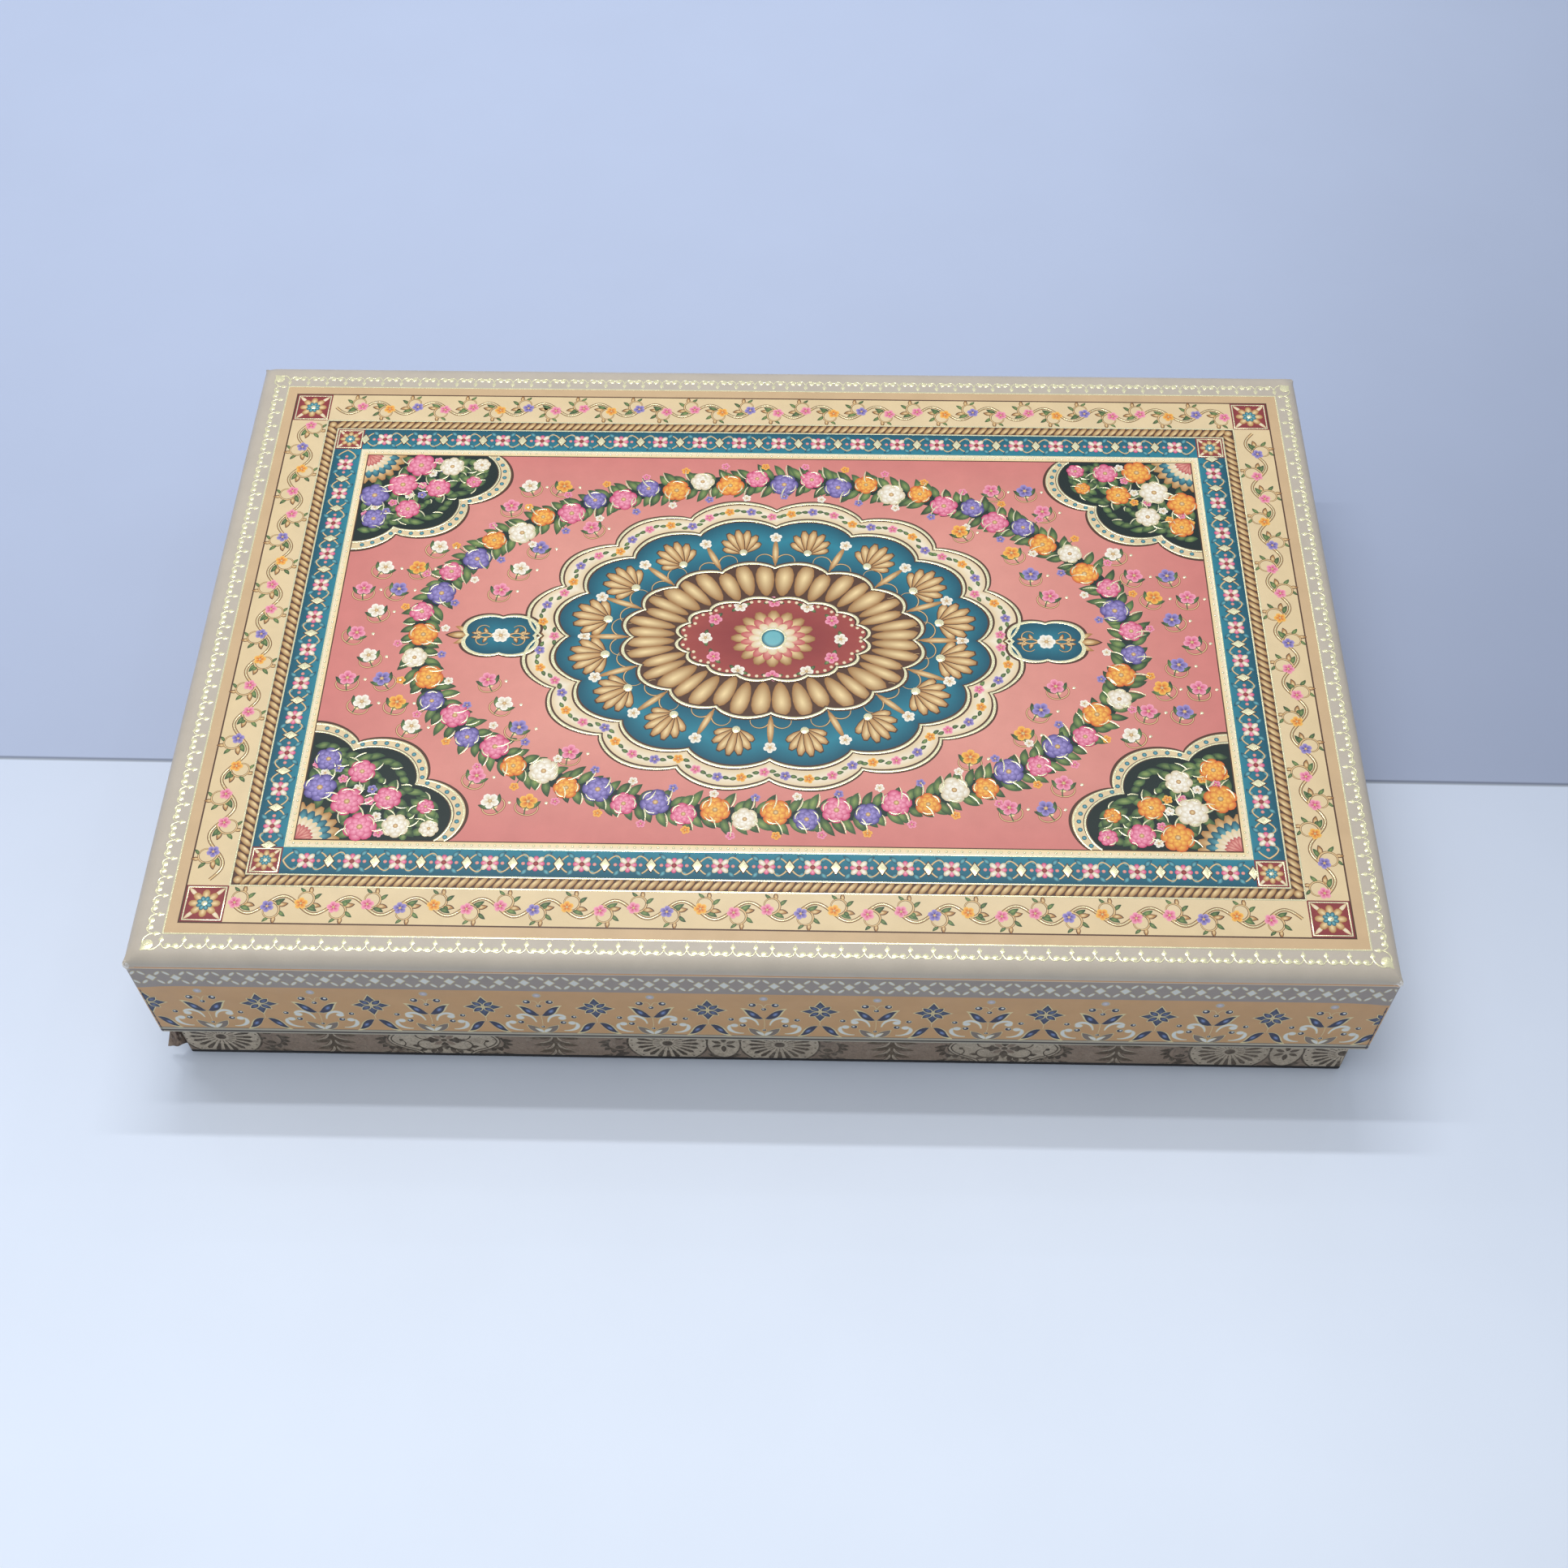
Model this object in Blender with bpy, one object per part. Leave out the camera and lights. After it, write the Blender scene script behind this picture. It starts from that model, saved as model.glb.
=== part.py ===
"""Paper-covered rigid hamper box with a padded lid that lifts off.

Metres, +Z up. The origin is on the surface that the box stands on, under its centre.
+X runs along the box's length, and -Y is its front.
Each tray is built as on a bench: greyboard panels, taped corners, a printed cover that is
turned in round the rim, and a plain lining inside. The lid has a foam pad under its cover.
"""

import math

import bmesh
import bpy

# Outside sizes, over the printed covers
LID_LENGTH = 0.381
LID_WIDTH = 0.253
SKIRT_HEIGHT = 0.042  # from the lid's fold edge down to its rim
TRAY_HEIGHT = 0.0607  # from the surface that the tray stands on up to its rim

# Sheet stock
BOARD = 0.002
COVER_PAPER = 0.00025
LINING_PAPER = 0.00025
UNDERSIDE_PAPER = 0.00025
CORNER_TAPE = 0.0001
TAPE_LEG = 0.014  # how far a corner tape reaches along each wall
TAPE_END_MARGIN = 0.0015  # from a tape's ends to the ends of its wall boards

# The foam pad and the cover's rounded edge over it
PAD_THICKNESS = 0.004
PAD_ROUND = 0.0045  # how far in from the walls the edge is rounded
PAD_CORNER_ROUND = 0.006  # plan radius of the pad's corners on its flat top
TIP_REACH = 0.0008  # how far the drawn paper stands out at the fold edge's corners
TIP_FADE = 0.003  # how far down the corner that point fades out

# The covers' folded margins
TURN_IN = 0.016  # inside the rims
TURN_UNDER = 0.014  # under the tray
UNDERSIDE_MARGIN = 0.003  # bare edge round the underside sheet
UNDERSIDE_CORNER_RADIUS = 0.0015
LINING_CORNER_RADIUS = 0.0003

# Fits
GLUE_GAP = 0.00015
SLIDE_CLEARANCE = 0.0006  # on each side, between the tray and the lid's skirt
LID_SEAT_GAP = 0.0003  # between the tray's rim and the lid's ceiling

# Smoothness of arcs
CORNER_STEPS = 6
PAD_EDGE_STEPS = 8
FOLD_STEPS = 3
TAPE_BEND_STEPS = 3
SMOOTH_ANGLE = math.radians(35)  # edges sharper than this stay hard

# Stacks and places that follow from the sizes above
COVER_GAP = GLUE_GAP + CORNER_TAPE + GLUE_GAP  # room for the corner tapes under a cover
BOARD_INSET = COVER_PAPER + COVER_GAP
WALL_STACK = BOARD_INSET + BOARD + GLUE_GAP + COVER_PAPER
RIM_FOLD = COVER_PAPER + GLUE_GAP  # outer radius of a cover's fold round a board's edge

LID_HALF = (LID_LENGTH / 2, LID_WIDTH / 2)
TRAY_INSET = WALL_STACK + SLIDE_CLEARANCE
TRAY_HALF = (LID_HALF[0] - TRAY_INSET, LID_HALF[1] - TRAY_INSET)

TRAY_COVER_Z = UNDERSIDE_PAPER + GLUE_GAP
TRAY_FLOOR_Z = TRAY_COVER_Z + COVER_PAPER + GLUE_GAP  # underside of the bottom board
TRAY_WALL_Z = TRAY_FLOOR_Z + BOARD + GLUE_GAP
TRAY_WALL_TOP = TRAY_HEIGHT - RIM_FOLD

# The lid's own heights are measured from its rim
CEILING_BOARD_Z = SKIRT_HEIGHT - BOARD
LID_WALL_TOP = CEILING_BOARD_Z - GLUE_GAP
CEILING_Z = LID_WALL_TOP - LINING_PAPER
PAD_Z = SKIRT_HEIGHT + GLUE_GAP
COVER_RISE = PAD_THICKNESS + 2 * GLUE_GAP + COVER_PAPER  # the lid's top above its fold edge
LID_RIM_Z = TRAY_HEIGHT + LID_SEAT_GAP - CEILING_Z


def clear_scene():
    for item in list(bpy.data.objects):
        bpy.data.objects.remove(item)


def make_material(name, colour, roughness, metallic=0.0):
    material = bpy.data.materials.new(name)
    material.use_nodes = True
    shader = material.node_tree.nodes["Principled BSDF"]
    shader.inputs["Base Color"].default_value = (*colour, 1.0)
    shader.inputs["Roughness"].default_value = roughness
    shader.inputs["Metallic"].default_value = metallic
    return material


def make_frame(name, height):
    """An empty that carries one half of the box, on the line along which the lid lifts."""
    frame = bpy.data.objects.new(name, None)
    frame.location.z = height
    bpy.context.scene.collection.objects.link(frame)
    return frame


def add_part(name, shape, material, parent, location=(0.0, 0.0, 0.0), smooth=False):
    bmesh.ops.recalc_face_normals(shape, faces=shape.faces)
    mesh = bpy.data.meshes.new(name)
    shape.to_mesh(mesh)
    shape.free()
    mesh.materials.append(material)
    if smooth:
        mesh.shade_smooth()
        mesh.set_sharp_from_angle(angle=SMOOTH_ANGLE)
    part = bpy.data.objects.new(name, mesh)
    part.location = location
    part.parent = parent
    bpy.context.scene.collection.objects.link(part)
    return part


def add_panel(name, low, high, material, parent):
    """A flat cut board between two opposite corners, given in its parent's frame."""
    shape = bmesh.new()
    bmesh.ops.create_cube(shape, size=1.0)
    size = [high[k] - low[k] for k in range(3)]
    middle = [(high[k] + low[k]) / 2 for k in range(3)]
    bmesh.ops.scale(shape, vec=size, verts=shape.verts)
    return add_part(name, shape, material, parent, middle)


def ring(half, inset, height, radius, tip=0.0):
    """Corner points of a rounded rectangle, inset from half, with its corners drawn out by tip."""
    points = []
    for quarter, (side_x, side_y) in enumerate(((1, 1), (-1, 1), (-1, -1), (1, -1))):
        centre_x = side_x * (half[0] - inset - radius)
        centre_y = side_y * (half[1] - inset - radius)
        for step in range(CORNER_STEPS + 1):
            share = step / CORNER_STEPS
            angle = math.pi / 2 * (quarter + share)
            reach = tip * math.sin(math.pi * share) / math.sqrt(2)
            x = centre_x + radius * math.cos(angle) + side_x * reach
            y = centre_y + radius * math.sin(angle) + side_y * reach
            points.append((x, y, height))
    return points


def sheet_from_rings(rings, closed_loop):
    """Bridges rings of points in order. An open run is capped at both ends."""
    shape = bmesh.new()
    loops = [[shape.verts.new(point) for point in points] for points in rings]
    pairs = list(zip(loops, loops[1:]))
    if closed_loop:
        pairs.append((loops[-1], loops[0]))
    else:
        shape.faces.new(loops[0])
        shape.faces.new(loops[-1])
    for first, second in pairs:
        for k in range(len(first)):
            after = (k + 1) % len(first)
            shape.faces.new((first[k], first[after], second[after], second[k]))
    return shape


def arc(centre, radii, start, end, steps):
    """Points (inset, height) on an ellipse. Angle 0 points out of the box, and 90 degrees up."""
    points = []
    for step in range(steps + 1):
        angle = math.radians(start + (end - start) * step / steps)
        inset = centre[0] - radii[0] * math.cos(angle)
        height = centre[1] + radii[1] * math.sin(angle)
        points.append((inset, height))
    return points


def cover_corner(inset):
    """Plan radius of a cover's corner, concentric with the sharp corner of the boards in it."""
    return max(BOARD_INSET - inset, LINING_CORNER_RADIUS)


def pad_corner(inset):
    """Plan radius over the pad: sharp at the fold edge, and full on the flat top."""
    share = inset / PAD_ROUND
    return BOARD_INSET + (PAD_CORNER_ROUND - BOARD_INSET) * share


def rim_fold(edge_z, inward, radius):
    """The two quarter turns round a board's edge. inward is 1 where the board lies above."""
    centre_z = edge_z + inward * RIM_FOLD
    outside = arc((RIM_FOLD, centre_z), (radius, radius), 0, -90 * inward, FOLD_STEPS)
    far_centre = (WALL_STACK - RIM_FOLD, centre_z)
    inside = arc(far_centre, (radius, radius), -90 * inward, -180 * inward, FOLD_STEPS)
    return outside + inside


def make_lid_cover(material, parent):
    """The printed cover: over the pad, down the skirt, round the rim and turned in."""
    fold_z = SKIRT_HEIGHT
    rings = []

    def pad_edge(thickness, start, end):
        radii = (PAD_ROUND - thickness, COVER_RISE - thickness)
        for inset, height in arc((PAD_ROUND, fold_z), radii, start, end, PAD_EDGE_STEPS):
            lift = max(0.0, 1 - (height - fold_z) / TIP_REACH)
            rings.append(ring(LID_HALF, inset, height, pad_corner(inset), TIP_REACH * lift))

    pad_edge(0.0, 90, 0)
    rings.append(ring(LID_HALF, 0.0, fold_z - TIP_FADE, cover_corner(0.0)))
    for inset, height in rim_fold(0.0, 1, RIM_FOLD):
        rings.append(ring(LID_HALF, inset, height, cover_corner(inset)))
    for inset in (WALL_STACK, WALL_STACK - COVER_PAPER):
        rings.append(ring(LID_HALF, inset, TURN_IN, cover_corner(inset)))
    for inset, height in reversed(rim_fold(0.0, 1, RIM_FOLD - COVER_PAPER)):
        rings.append(ring(LID_HALF, inset, height, cover_corner(inset)))
    rings.append(ring(LID_HALF, COVER_PAPER, fold_z - TIP_FADE, cover_corner(COVER_PAPER)))
    pad_edge(COVER_PAPER, 0, 90)
    shape = sheet_from_rings(rings, closed_loop=False)
    add_part("lid_cover", shape, material, parent, smooth=True)


def make_lid_pad(material, parent):
    """The foam sheet between the ceiling board and the cover, with a rounded upper edge."""
    radii = (PAD_ROUND - BOARD_INSET, PAD_THICKNESS)
    profile = arc((PAD_ROUND, PAD_Z), radii, 0, 90, PAD_EDGE_STEPS)
    rings = [ring(LID_HALF, inset, height, pad_corner(inset)) for inset, height in profile]
    shape = sheet_from_rings(rings, closed_loop=False)
    add_part("lid_foam_pad", shape, material, parent, smooth=True)


def make_tray_cover(material, parent):
    """The printed cover: turned under the tray, up its walls, round the rim and turned in."""
    fold_z = TRAY_COVER_Z + RIM_FOLD
    rings = []
    outer_bottom = arc((RIM_FOLD, fold_z), (RIM_FOLD, RIM_FOLD), -90, 0, FOLD_STEPS)
    inner_radius = RIM_FOLD - COVER_PAPER
    inner_bottom = arc((RIM_FOLD, fold_z), (inner_radius, inner_radius), 0, -90, FOLD_STEPS)
    profile = [(TURN_UNDER, TRAY_COVER_Z)]
    profile += outer_bottom
    profile += rim_fold(TRAY_HEIGHT, -1, RIM_FOLD)
    profile += [(WALL_STACK, TRAY_HEIGHT - TURN_IN)]
    profile += [(WALL_STACK - COVER_PAPER, TRAY_HEIGHT - TURN_IN)]
    profile += reversed(rim_fold(TRAY_HEIGHT, -1, inner_radius))
    profile += inner_bottom
    profile += [(TURN_UNDER, TRAY_COVER_Z + COVER_PAPER)]
    for inset, height in profile:
        rings.append(ring(TRAY_HALF, inset, height, cover_corner(inset)))
    shape = sheet_from_rings(rings, closed_loop=True)
    add_part("tray_cover", shape, material, parent, smooth=True)


def make_lining(name, half, flat_z, edge_z, material, parent):
    """A tray of plain paper inside the boards, from its flat sheet to the turned-in margin."""
    side = 1 if edge_z > flat_z else -1
    outer = WALL_STACK - COVER_PAPER
    inner = outer + LINING_PAPER
    profile = (
        (outer, flat_z),
        (outer, edge_z),
        (inner, edge_z),
        (inner, flat_z + side * LINING_PAPER),
    )
    rings = [ring(half, inset, height, LINING_CORNER_RADIUS) for inset, height in profile]
    shape = sheet_from_rings(rings, closed_loop=False)
    add_part(name, shape, material, parent)


def make_walls(prefix, half, low_z, high_z, material, parent):
    """Four wall boards, butted at the corners: front and back run the full length."""
    outer_x = half[0] - BOARD_INSET
    outer_y = half[1] - BOARD_INSET
    for name, side in (("front", -1), ("back", 1)):
        faces = sorted((side * outer_y, side * (outer_y - BOARD)))
        low = (-outer_x, faces[0], low_z)
        high = (outer_x, faces[1], high_z)
        add_panel(f"{prefix}_{name}_board", low, high, material, parent)
    side_reach = outer_y - BOARD - GLUE_GAP
    for name, side in (("left", -1), ("right", 1)):
        faces = sorted((side * outer_x, side * (outer_x - BOARD)))
        low = (faces[0], -side_reach, low_z)
        high = (faces[1], side_reach, high_z)
        add_panel(f"{prefix}_{name}_board", low, high, material, parent)


def corner_tape_outline():
    """Plan of the tape round a board's outer corner at the origin, with the boards at -x, -y."""
    inner = GLUE_GAP
    outer = GLUE_GAP + CORNER_TAPE
    points = [(-TAPE_LEG, inner)]
    for radius, start, end in ((inner, 90, 0), (outer, 0, 90)):
        for step in range(TAPE_BEND_STEPS + 1):
            angle = math.radians(start + (end - start) * step / TAPE_BEND_STEPS)
            points.append((radius * math.cos(angle), radius * math.sin(angle)))
        if radius == inner:
            points += [(inner, -TAPE_LEG), (outer, -TAPE_LEG)]
    points.append((-TAPE_LEG, outer))
    return points


def make_corner_tapes(prefix, half, low_z, high_z, material, parent):
    """Four strips that hold the butted wall boards together, each bent round one corner."""
    height = high_z - low_z - 2 * TAPE_END_MARGIN
    corners = (("front_left", -1, -1), ("front_right", 1, -1), ("back_right", 1, 1), ("back_left", -1, 1))
    for name, side_x, side_y in corners:
        shape = bmesh.new()
        outline = [shape.verts.new((side_x * x, side_y * y, 0.0)) for x, y in corner_tape_outline()]
        face = shape.faces.new(outline)
        raised = bmesh.ops.extrude_face_region(shape, geom=[face])["geom"]
        moved = [item for item in raised if isinstance(item, bmesh.types.BMVert)]
        bmesh.ops.translate(shape, vec=(0.0, 0.0, height), verts=moved)
        place = (
            side_x * (half[0] - BOARD_INSET),
            side_y * (half[1] - BOARD_INSET),
            low_z + TAPE_END_MARGIN,
        )
        add_part(f"{prefix}_corner_tape_{name}", shape, material, parent, place)


def make_flat_board(name, half, low_z, material, parent):
    """The panel that closes a tray, as wide as its walls are outside."""
    x = half[0] - BOARD_INSET
    y = half[1] - BOARD_INSET
    add_panel(name, (-x, -y, low_z), (x, y, low_z + BOARD), material, parent)


def make_underside_sheet(material, parent):
    """The sheet that the box stands on. It covers the turned-under margins and the bare board."""
    heights = (0.0, UNDERSIDE_PAPER)
    rings = [ring(TRAY_HALF, UNDERSIDE_MARGIN, z, UNDERSIDE_CORNER_RADIUS) for z in heights]
    shape = sheet_from_rings(rings, closed_loop=False)
    add_part("tray_underside_sheet", shape, material, parent)


def main():
    clear_scene()
    greyboard = make_material("greyboard", (0.42, 0.38, 0.33), 0.9)
    lid_print = make_material("lid_print", (0.60, 0.55, 0.50), 0.42)
    tray_print = make_material("tray_print", (0.30, 0.25, 0.20), 0.5)
    lining = make_material("lining_paper", (0.80, 0.76, 0.68), 0.75)
    underside = make_material("underside_paper", (0.72, 0.68, 0.60), 0.8)
    tape = make_material("corner_tape", (0.55, 0.42, 0.28), 0.7)
    foam = make_material("foam", (0.86, 0.86, 0.84), 0.95)

    tray = make_frame("tray_frame", 0.0)
    make_flat_board("tray_bottom_board", TRAY_HALF, TRAY_FLOOR_Z, greyboard, tray)
    make_walls("tray", TRAY_HALF, TRAY_WALL_Z, TRAY_WALL_TOP, greyboard, tray)
    make_corner_tapes("tray", TRAY_HALF, TRAY_WALL_Z, TRAY_WALL_TOP, tape, tray)
    make_tray_cover(tray_print, tray)
    lining_top = TRAY_HEIGHT - TURN_IN - GLUE_GAP
    make_lining("tray_lining", TRAY_HALF, TRAY_WALL_Z, lining_top, lining, tray)
    make_underside_sheet(underside, tray)

    lid = make_frame("lid_frame", LID_RIM_Z)
    make_flat_board("lid_top_board", LID_HALF, CEILING_BOARD_Z, greyboard, lid)
    make_walls("lid", LID_HALF, RIM_FOLD, LID_WALL_TOP, greyboard, lid)
    make_corner_tapes("lid", LID_HALF, RIM_FOLD, LID_WALL_TOP, tape, lid)
    make_lining("lid_lining", LID_HALF, LID_WALL_TOP, TURN_IN + GLUE_GAP, lining, lid)
    make_lid_pad(foam, lid)
    make_lid_cover(lid_print, lid)


main()
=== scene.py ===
"""Looks of the hamper box: printed papers, gold foil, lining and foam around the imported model.

Metres, +Z up, the box's length along X and its front at -Y. The prints are drawn in
millimetres on flat sheets, as the printer would, and then laid on the faces of the box.
The lid's picture is a traditional carpet layout of borders, spandrels, wreath and medallion.
"""

import math

import bmesh
import bpy
import numpy as np
from mathutils import Matrix, Vector


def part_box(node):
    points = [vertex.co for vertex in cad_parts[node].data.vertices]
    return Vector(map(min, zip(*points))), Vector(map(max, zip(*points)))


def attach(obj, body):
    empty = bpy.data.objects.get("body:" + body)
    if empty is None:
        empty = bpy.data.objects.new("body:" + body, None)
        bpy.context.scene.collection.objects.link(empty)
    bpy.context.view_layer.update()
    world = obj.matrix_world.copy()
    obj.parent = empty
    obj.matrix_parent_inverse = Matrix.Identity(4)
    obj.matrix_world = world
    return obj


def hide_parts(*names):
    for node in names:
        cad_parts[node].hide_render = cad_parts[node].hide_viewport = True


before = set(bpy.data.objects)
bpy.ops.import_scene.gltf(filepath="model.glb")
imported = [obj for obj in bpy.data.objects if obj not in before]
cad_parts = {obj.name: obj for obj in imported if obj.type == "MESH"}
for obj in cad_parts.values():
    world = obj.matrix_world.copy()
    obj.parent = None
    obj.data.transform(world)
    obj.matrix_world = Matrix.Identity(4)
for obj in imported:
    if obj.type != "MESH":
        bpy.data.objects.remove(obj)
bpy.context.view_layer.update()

MM = 0.001

# The camera, solved from the box's corners in the photograph
CAMERA_PLACE = (0.01525, -0.40998, 0.5737)
CAMERA_TURN = (0.6052, 0.0151, 0.0130)
CAMERA_LENS = 44.79
CAMERA_SENSOR = 36.0

# The box's main sizes in millimetres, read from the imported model
LID_LOW, LID_HIGH = (np.array(corner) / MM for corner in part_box("lid_cover"))
TRAY_LOW, TRAY_HIGH = (np.array(corner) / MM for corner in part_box("tray_cover"))
LID_BOARD_HIGH = np.array(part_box("lid_top_board")[1]) / MM
COVER_TO_BOARD = 0.65  # papers and glue between a cover's face and its board
WALL_STACK = 3.05  # from a cover's outer face to the turned-in margin's face
PAPER = 0.22  # the covers' thickness

LID_HALF = LID_BOARD_HIGH[:2] + COVER_TO_BOARD
LID_TOP = LID_HIGH[2]
LID_RIM = LID_LOW[2]
FOLD_EDGE = LID_BOARD_HIGH[2]
TRAY_HALF = TRAY_HIGH[:2]
TRAY_RIM = TRAY_HIGH[2]
TRAY_FOOT = TRAY_LOW[2]
PAD_RISE = LID_TOP - FOLD_EDGE

# The covers' shape, in millimetres
PAD_ROUND = 4.5  # how far in from its edge the padded top is rounded
CORNER_RADIUS = 0.65  # of a cover's upright corners, and less inside
INNER_CORNER_RADIUS = 0.3
RIM_FOLD = 0.4  # the radius of a fold round a board's edge
TURN_IN = 16.0  # the margins inside the rims, and under the tray
TURN_UNDER = 14.0
TIP_REACH = 0.55  # how far the lid's corner tips are drawn out, and how far down
TIP_FADE = 3.0
CREASE_DEPTH = 0.26  # puckers at the lid's corners, and how far they run from them
CREASE_REACH = 4.0
HAND_WOBBLE = 0.1  # how far hand-laid edges stray from straight

# Grid lines of a cover, as distances from its edge, and how many more lie between them
# along its length and its width. Then the angles of the rings round a fold
EDGE_LINES = (0, 0.16, 0.33, 0.5, 0.8, 1.2, 1.7, 2.3, 3.0, 3.8, 4.6, 6.0, 8.0)
MIDDLE_LINES = (62, 40)
FOLD_STEPS = np.radians((30, 60, 90))

# The skirt's bands, from the fold edge down: where each ends
BAND_ENDS = (0.1, 0.75, 1.15, 11.7, 38.5, 38.85, 40.05, 41.0, 41.6)
BAND_DIP = 1.2  # how much lower the grey band ends at the corners, and from how far
DIP_REACH = 7.0

LEVEL = 0.012  # from one printed layer to the next, in millimetres
HAIR = 0.0035  # the most that a shape is lifted within its layer
GOLDEN = 0.618  # spreads those lifts evenly
FOOT_SHADOW = 1.5  # the painted contact shadow: a dark band over the tray's foot, below its print

# Where the prints lie
PRINT_SHIFT = complex(1.2, -1.4)  # the lid's sheet was laid a little off centre
SPRIG_PERIOD, SPRIG_SHIFT, SPRIG_DROP = 34.6, 0.9, 11.4
CHAIN_PERIOD, CHAIN_SHIFT, CHAIN_DROP = 7.53, 4.2, 6.4


def srgb(red, green, blue):
    """A colour written as 0 to 255 sRGB, in linear light."""
    shares = np.array((red, green, blue)) / 255
    return np.where(shares <= 0.04045, shares / 12.92, ((shares + 0.055) / 1.055) ** 2.4)


# Printed colours
FOIL = srgb(244, 236, 190)
LINE_GOLD = srgb(218, 202, 152)
NAVY = srgb(44, 48, 74)
NAVY_LIGHT = srgb(132, 156, 206)
WHITE = srgb(221, 222, 216)
TULIP = srgb(124, 112, 102)
PEARL = srgb(190, 184, 190)
PEACH = srgb(206, 176, 136)
UMBER = srgb(84, 56, 40)
OCHRE = srgb(172, 122, 68)
STRAW = srgb(240, 214, 160)
CREAM = srgb(240, 228, 204)
CREAM_EDGE = srgb(224, 200, 156)
TEAL = srgb(44, 128, 146)
TEAL_DARK = srgb(22, 80, 98)
TEAL_LIGHT = srgb(116, 182, 188)
CORAL = srgb(216, 132, 124)
SALMON = srgb(234, 170, 152)
ROSE_DARK = srgb(186, 84, 84)
MAROON = srgb(126, 44, 50)
BRICK = srgb(170, 80, 72)
LEAF_DARK = srgb(26, 42, 36)
LEAF_GREEN = srgb(72, 104, 62)
LEAF_PALE = srgb(146, 164, 96)
TILE_BROWN = srgb(66, 54, 38)
TILE_IVORY = srgb(196, 182, 160)
TILE_MAUVE = srgb(148, 128, 110)
LINE_SHADE = LINE_GOLD * 0.8
WHITE_SHADE = WHITE * 0.92
NAVY_LIT = (NAVY, NAVY_LIGHT)
FLUTED = (OCHRE * 0.8, STRAW)
DEEP_TEAL = (TEAL_DARK, TEAL)
BLOSSOMS = {
    "pink": (srgb(196, 56, 104), srgb(246, 166, 186)),
    "violet": (srgb(72, 62, 124), srgb(164, 150, 208)),
    "sun": (srgb(206, 88, 40), srgb(250, 194, 88)),
    "cream": (srgb(210, 190, 152), srgb(252, 248, 236)),
}

# Each ink's usual tone, or its tones at a shape's edge and middle
TONES = {
    "foil": FOIL,
    "gold": (OCHRE, STRAW),
    "umber": UMBER,
    "teal": (TEAL_DARK, TEAL_LIGHT),
    "cream": (CREAM_EDGE, CREAM),
    "rose": (ROSE_DARK, SALMON),
    "maroon": (MAROON, BRICK),
    "peach": PEACH,
    "line": LINE_GOLD,
    "white": WHITE,
    "navy": NAVY,
    "grey": TULIP,
    "brown": TILE_BROWN,
    "ivory": TILE_IVORY,
    "mauve": TILE_MAUVE,
}

EMBOSS = 0.11  # how far pressed foil bulges

random = np.random.default_rng(7)


def two_tones(ink, tones):
    """A shape's tones at its edge and middle: its own if it has any, or else its ink's."""
    tones = TONES[ink] if tones is None else tones
    return tones if isinstance(tones, tuple) else (tones, tones)


# Flat shapes in millimetres, as complex numbers x + iy

def toward(angle):
    return np.exp(1j * angle)


DIAGONAL = toward(0.25 * math.pi)


def curve(*handles, steps=16):
    """Points along a Bezier curve."""
    share = np.linspace(0, 1, steps + 1)
    points = [np.full(steps + 1, handle, complex) for handle in handles]
    while len(points) > 1:
        points = [a + (b - a) * share for a, b in zip(points, points[1:])]
    return points[0]


def volute(start, heading, length, turn, steps=20, tighten=1.5):
    """A path that sets out along heading and curls by turn radians, tighter towards its end."""
    share = np.linspace(0, 1, steps + 1)
    angle = heading + turn * share ** tighten
    strides = toward(angle) * length / steps
    return start + np.concatenate(([0], np.cumsum(strides[:-1])))


def circle(centre, radius, steps=16, squash=1.0, turn=0.0):
    angles = np.linspace(0, 2 * np.pi, steps, endpoint=False)
    around = np.cos(angles) + 1j * squash * np.sin(angles)
    return centre + radius * around * toward(turn)


def lobed(wide, high, lobes, depth, steps):
    """An ellipse whose outline is scalloped into lobes."""
    angles = np.linspace(0, 2 * np.pi, steps, endpoint=False)
    reach = 1 - depth + depth * np.abs(np.sin(lobes * angles / 2)) ** 0.8
    return reach * (wide * np.cos(angles) + 1j * high * np.sin(angles))


def petal(length, width, turn=0.0, steps=10, blunt=0.5):
    """A petal's outline from 0 towards turn, wider at its far end the more blunt it is."""
    angles = np.linspace(0, 2 * np.pi, steps, endpoint=False) + np.pi / steps
    reach = length * (0.5 - 0.5 * np.cos(angles))
    across = width / 2 * np.sin(angles) * (1 - blunt + blunt * 1.3 * reach / length)
    return (reach + 1j * across) * toward(turn)


def corners(half):
    return np.array([-half, half.conjugate(), half, -half.conjugate()])


def sides(half):
    """Half the length, the distance from the middle and the turn of a frame's four sides."""
    for side in range(4):
        length, distance = ((half.real, half.imag), (half.imag, half.real))[side % 2]
        yield length, distance, math.pi / 2 * side


def along(outline, pitch):
    """(place, heading) at even steps along a closed outline."""
    closed = np.append(outline, outline[0])
    reach = np.concatenate(([0], np.cumsum(np.abs(np.diff(closed)))))
    count = round(reach[-1] / pitch)
    spots = (np.arange(count) + 0.5) * reach[-1] / count
    places = np.interp(spots, reach, closed.real) + 1j * np.interp(spots, reach, closed.imag)
    return list(zip(places, np.angle(np.roll(places, -1) - np.roll(places, 1))))


def sprout(path, spot, reach, angle):
    """The way to the tip of a leaf that leaves a path at that spot and angle."""
    ahead = path[spot + 1] - path[spot]
    return reach * ahead / abs(ahead) * toward(angle)


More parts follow.
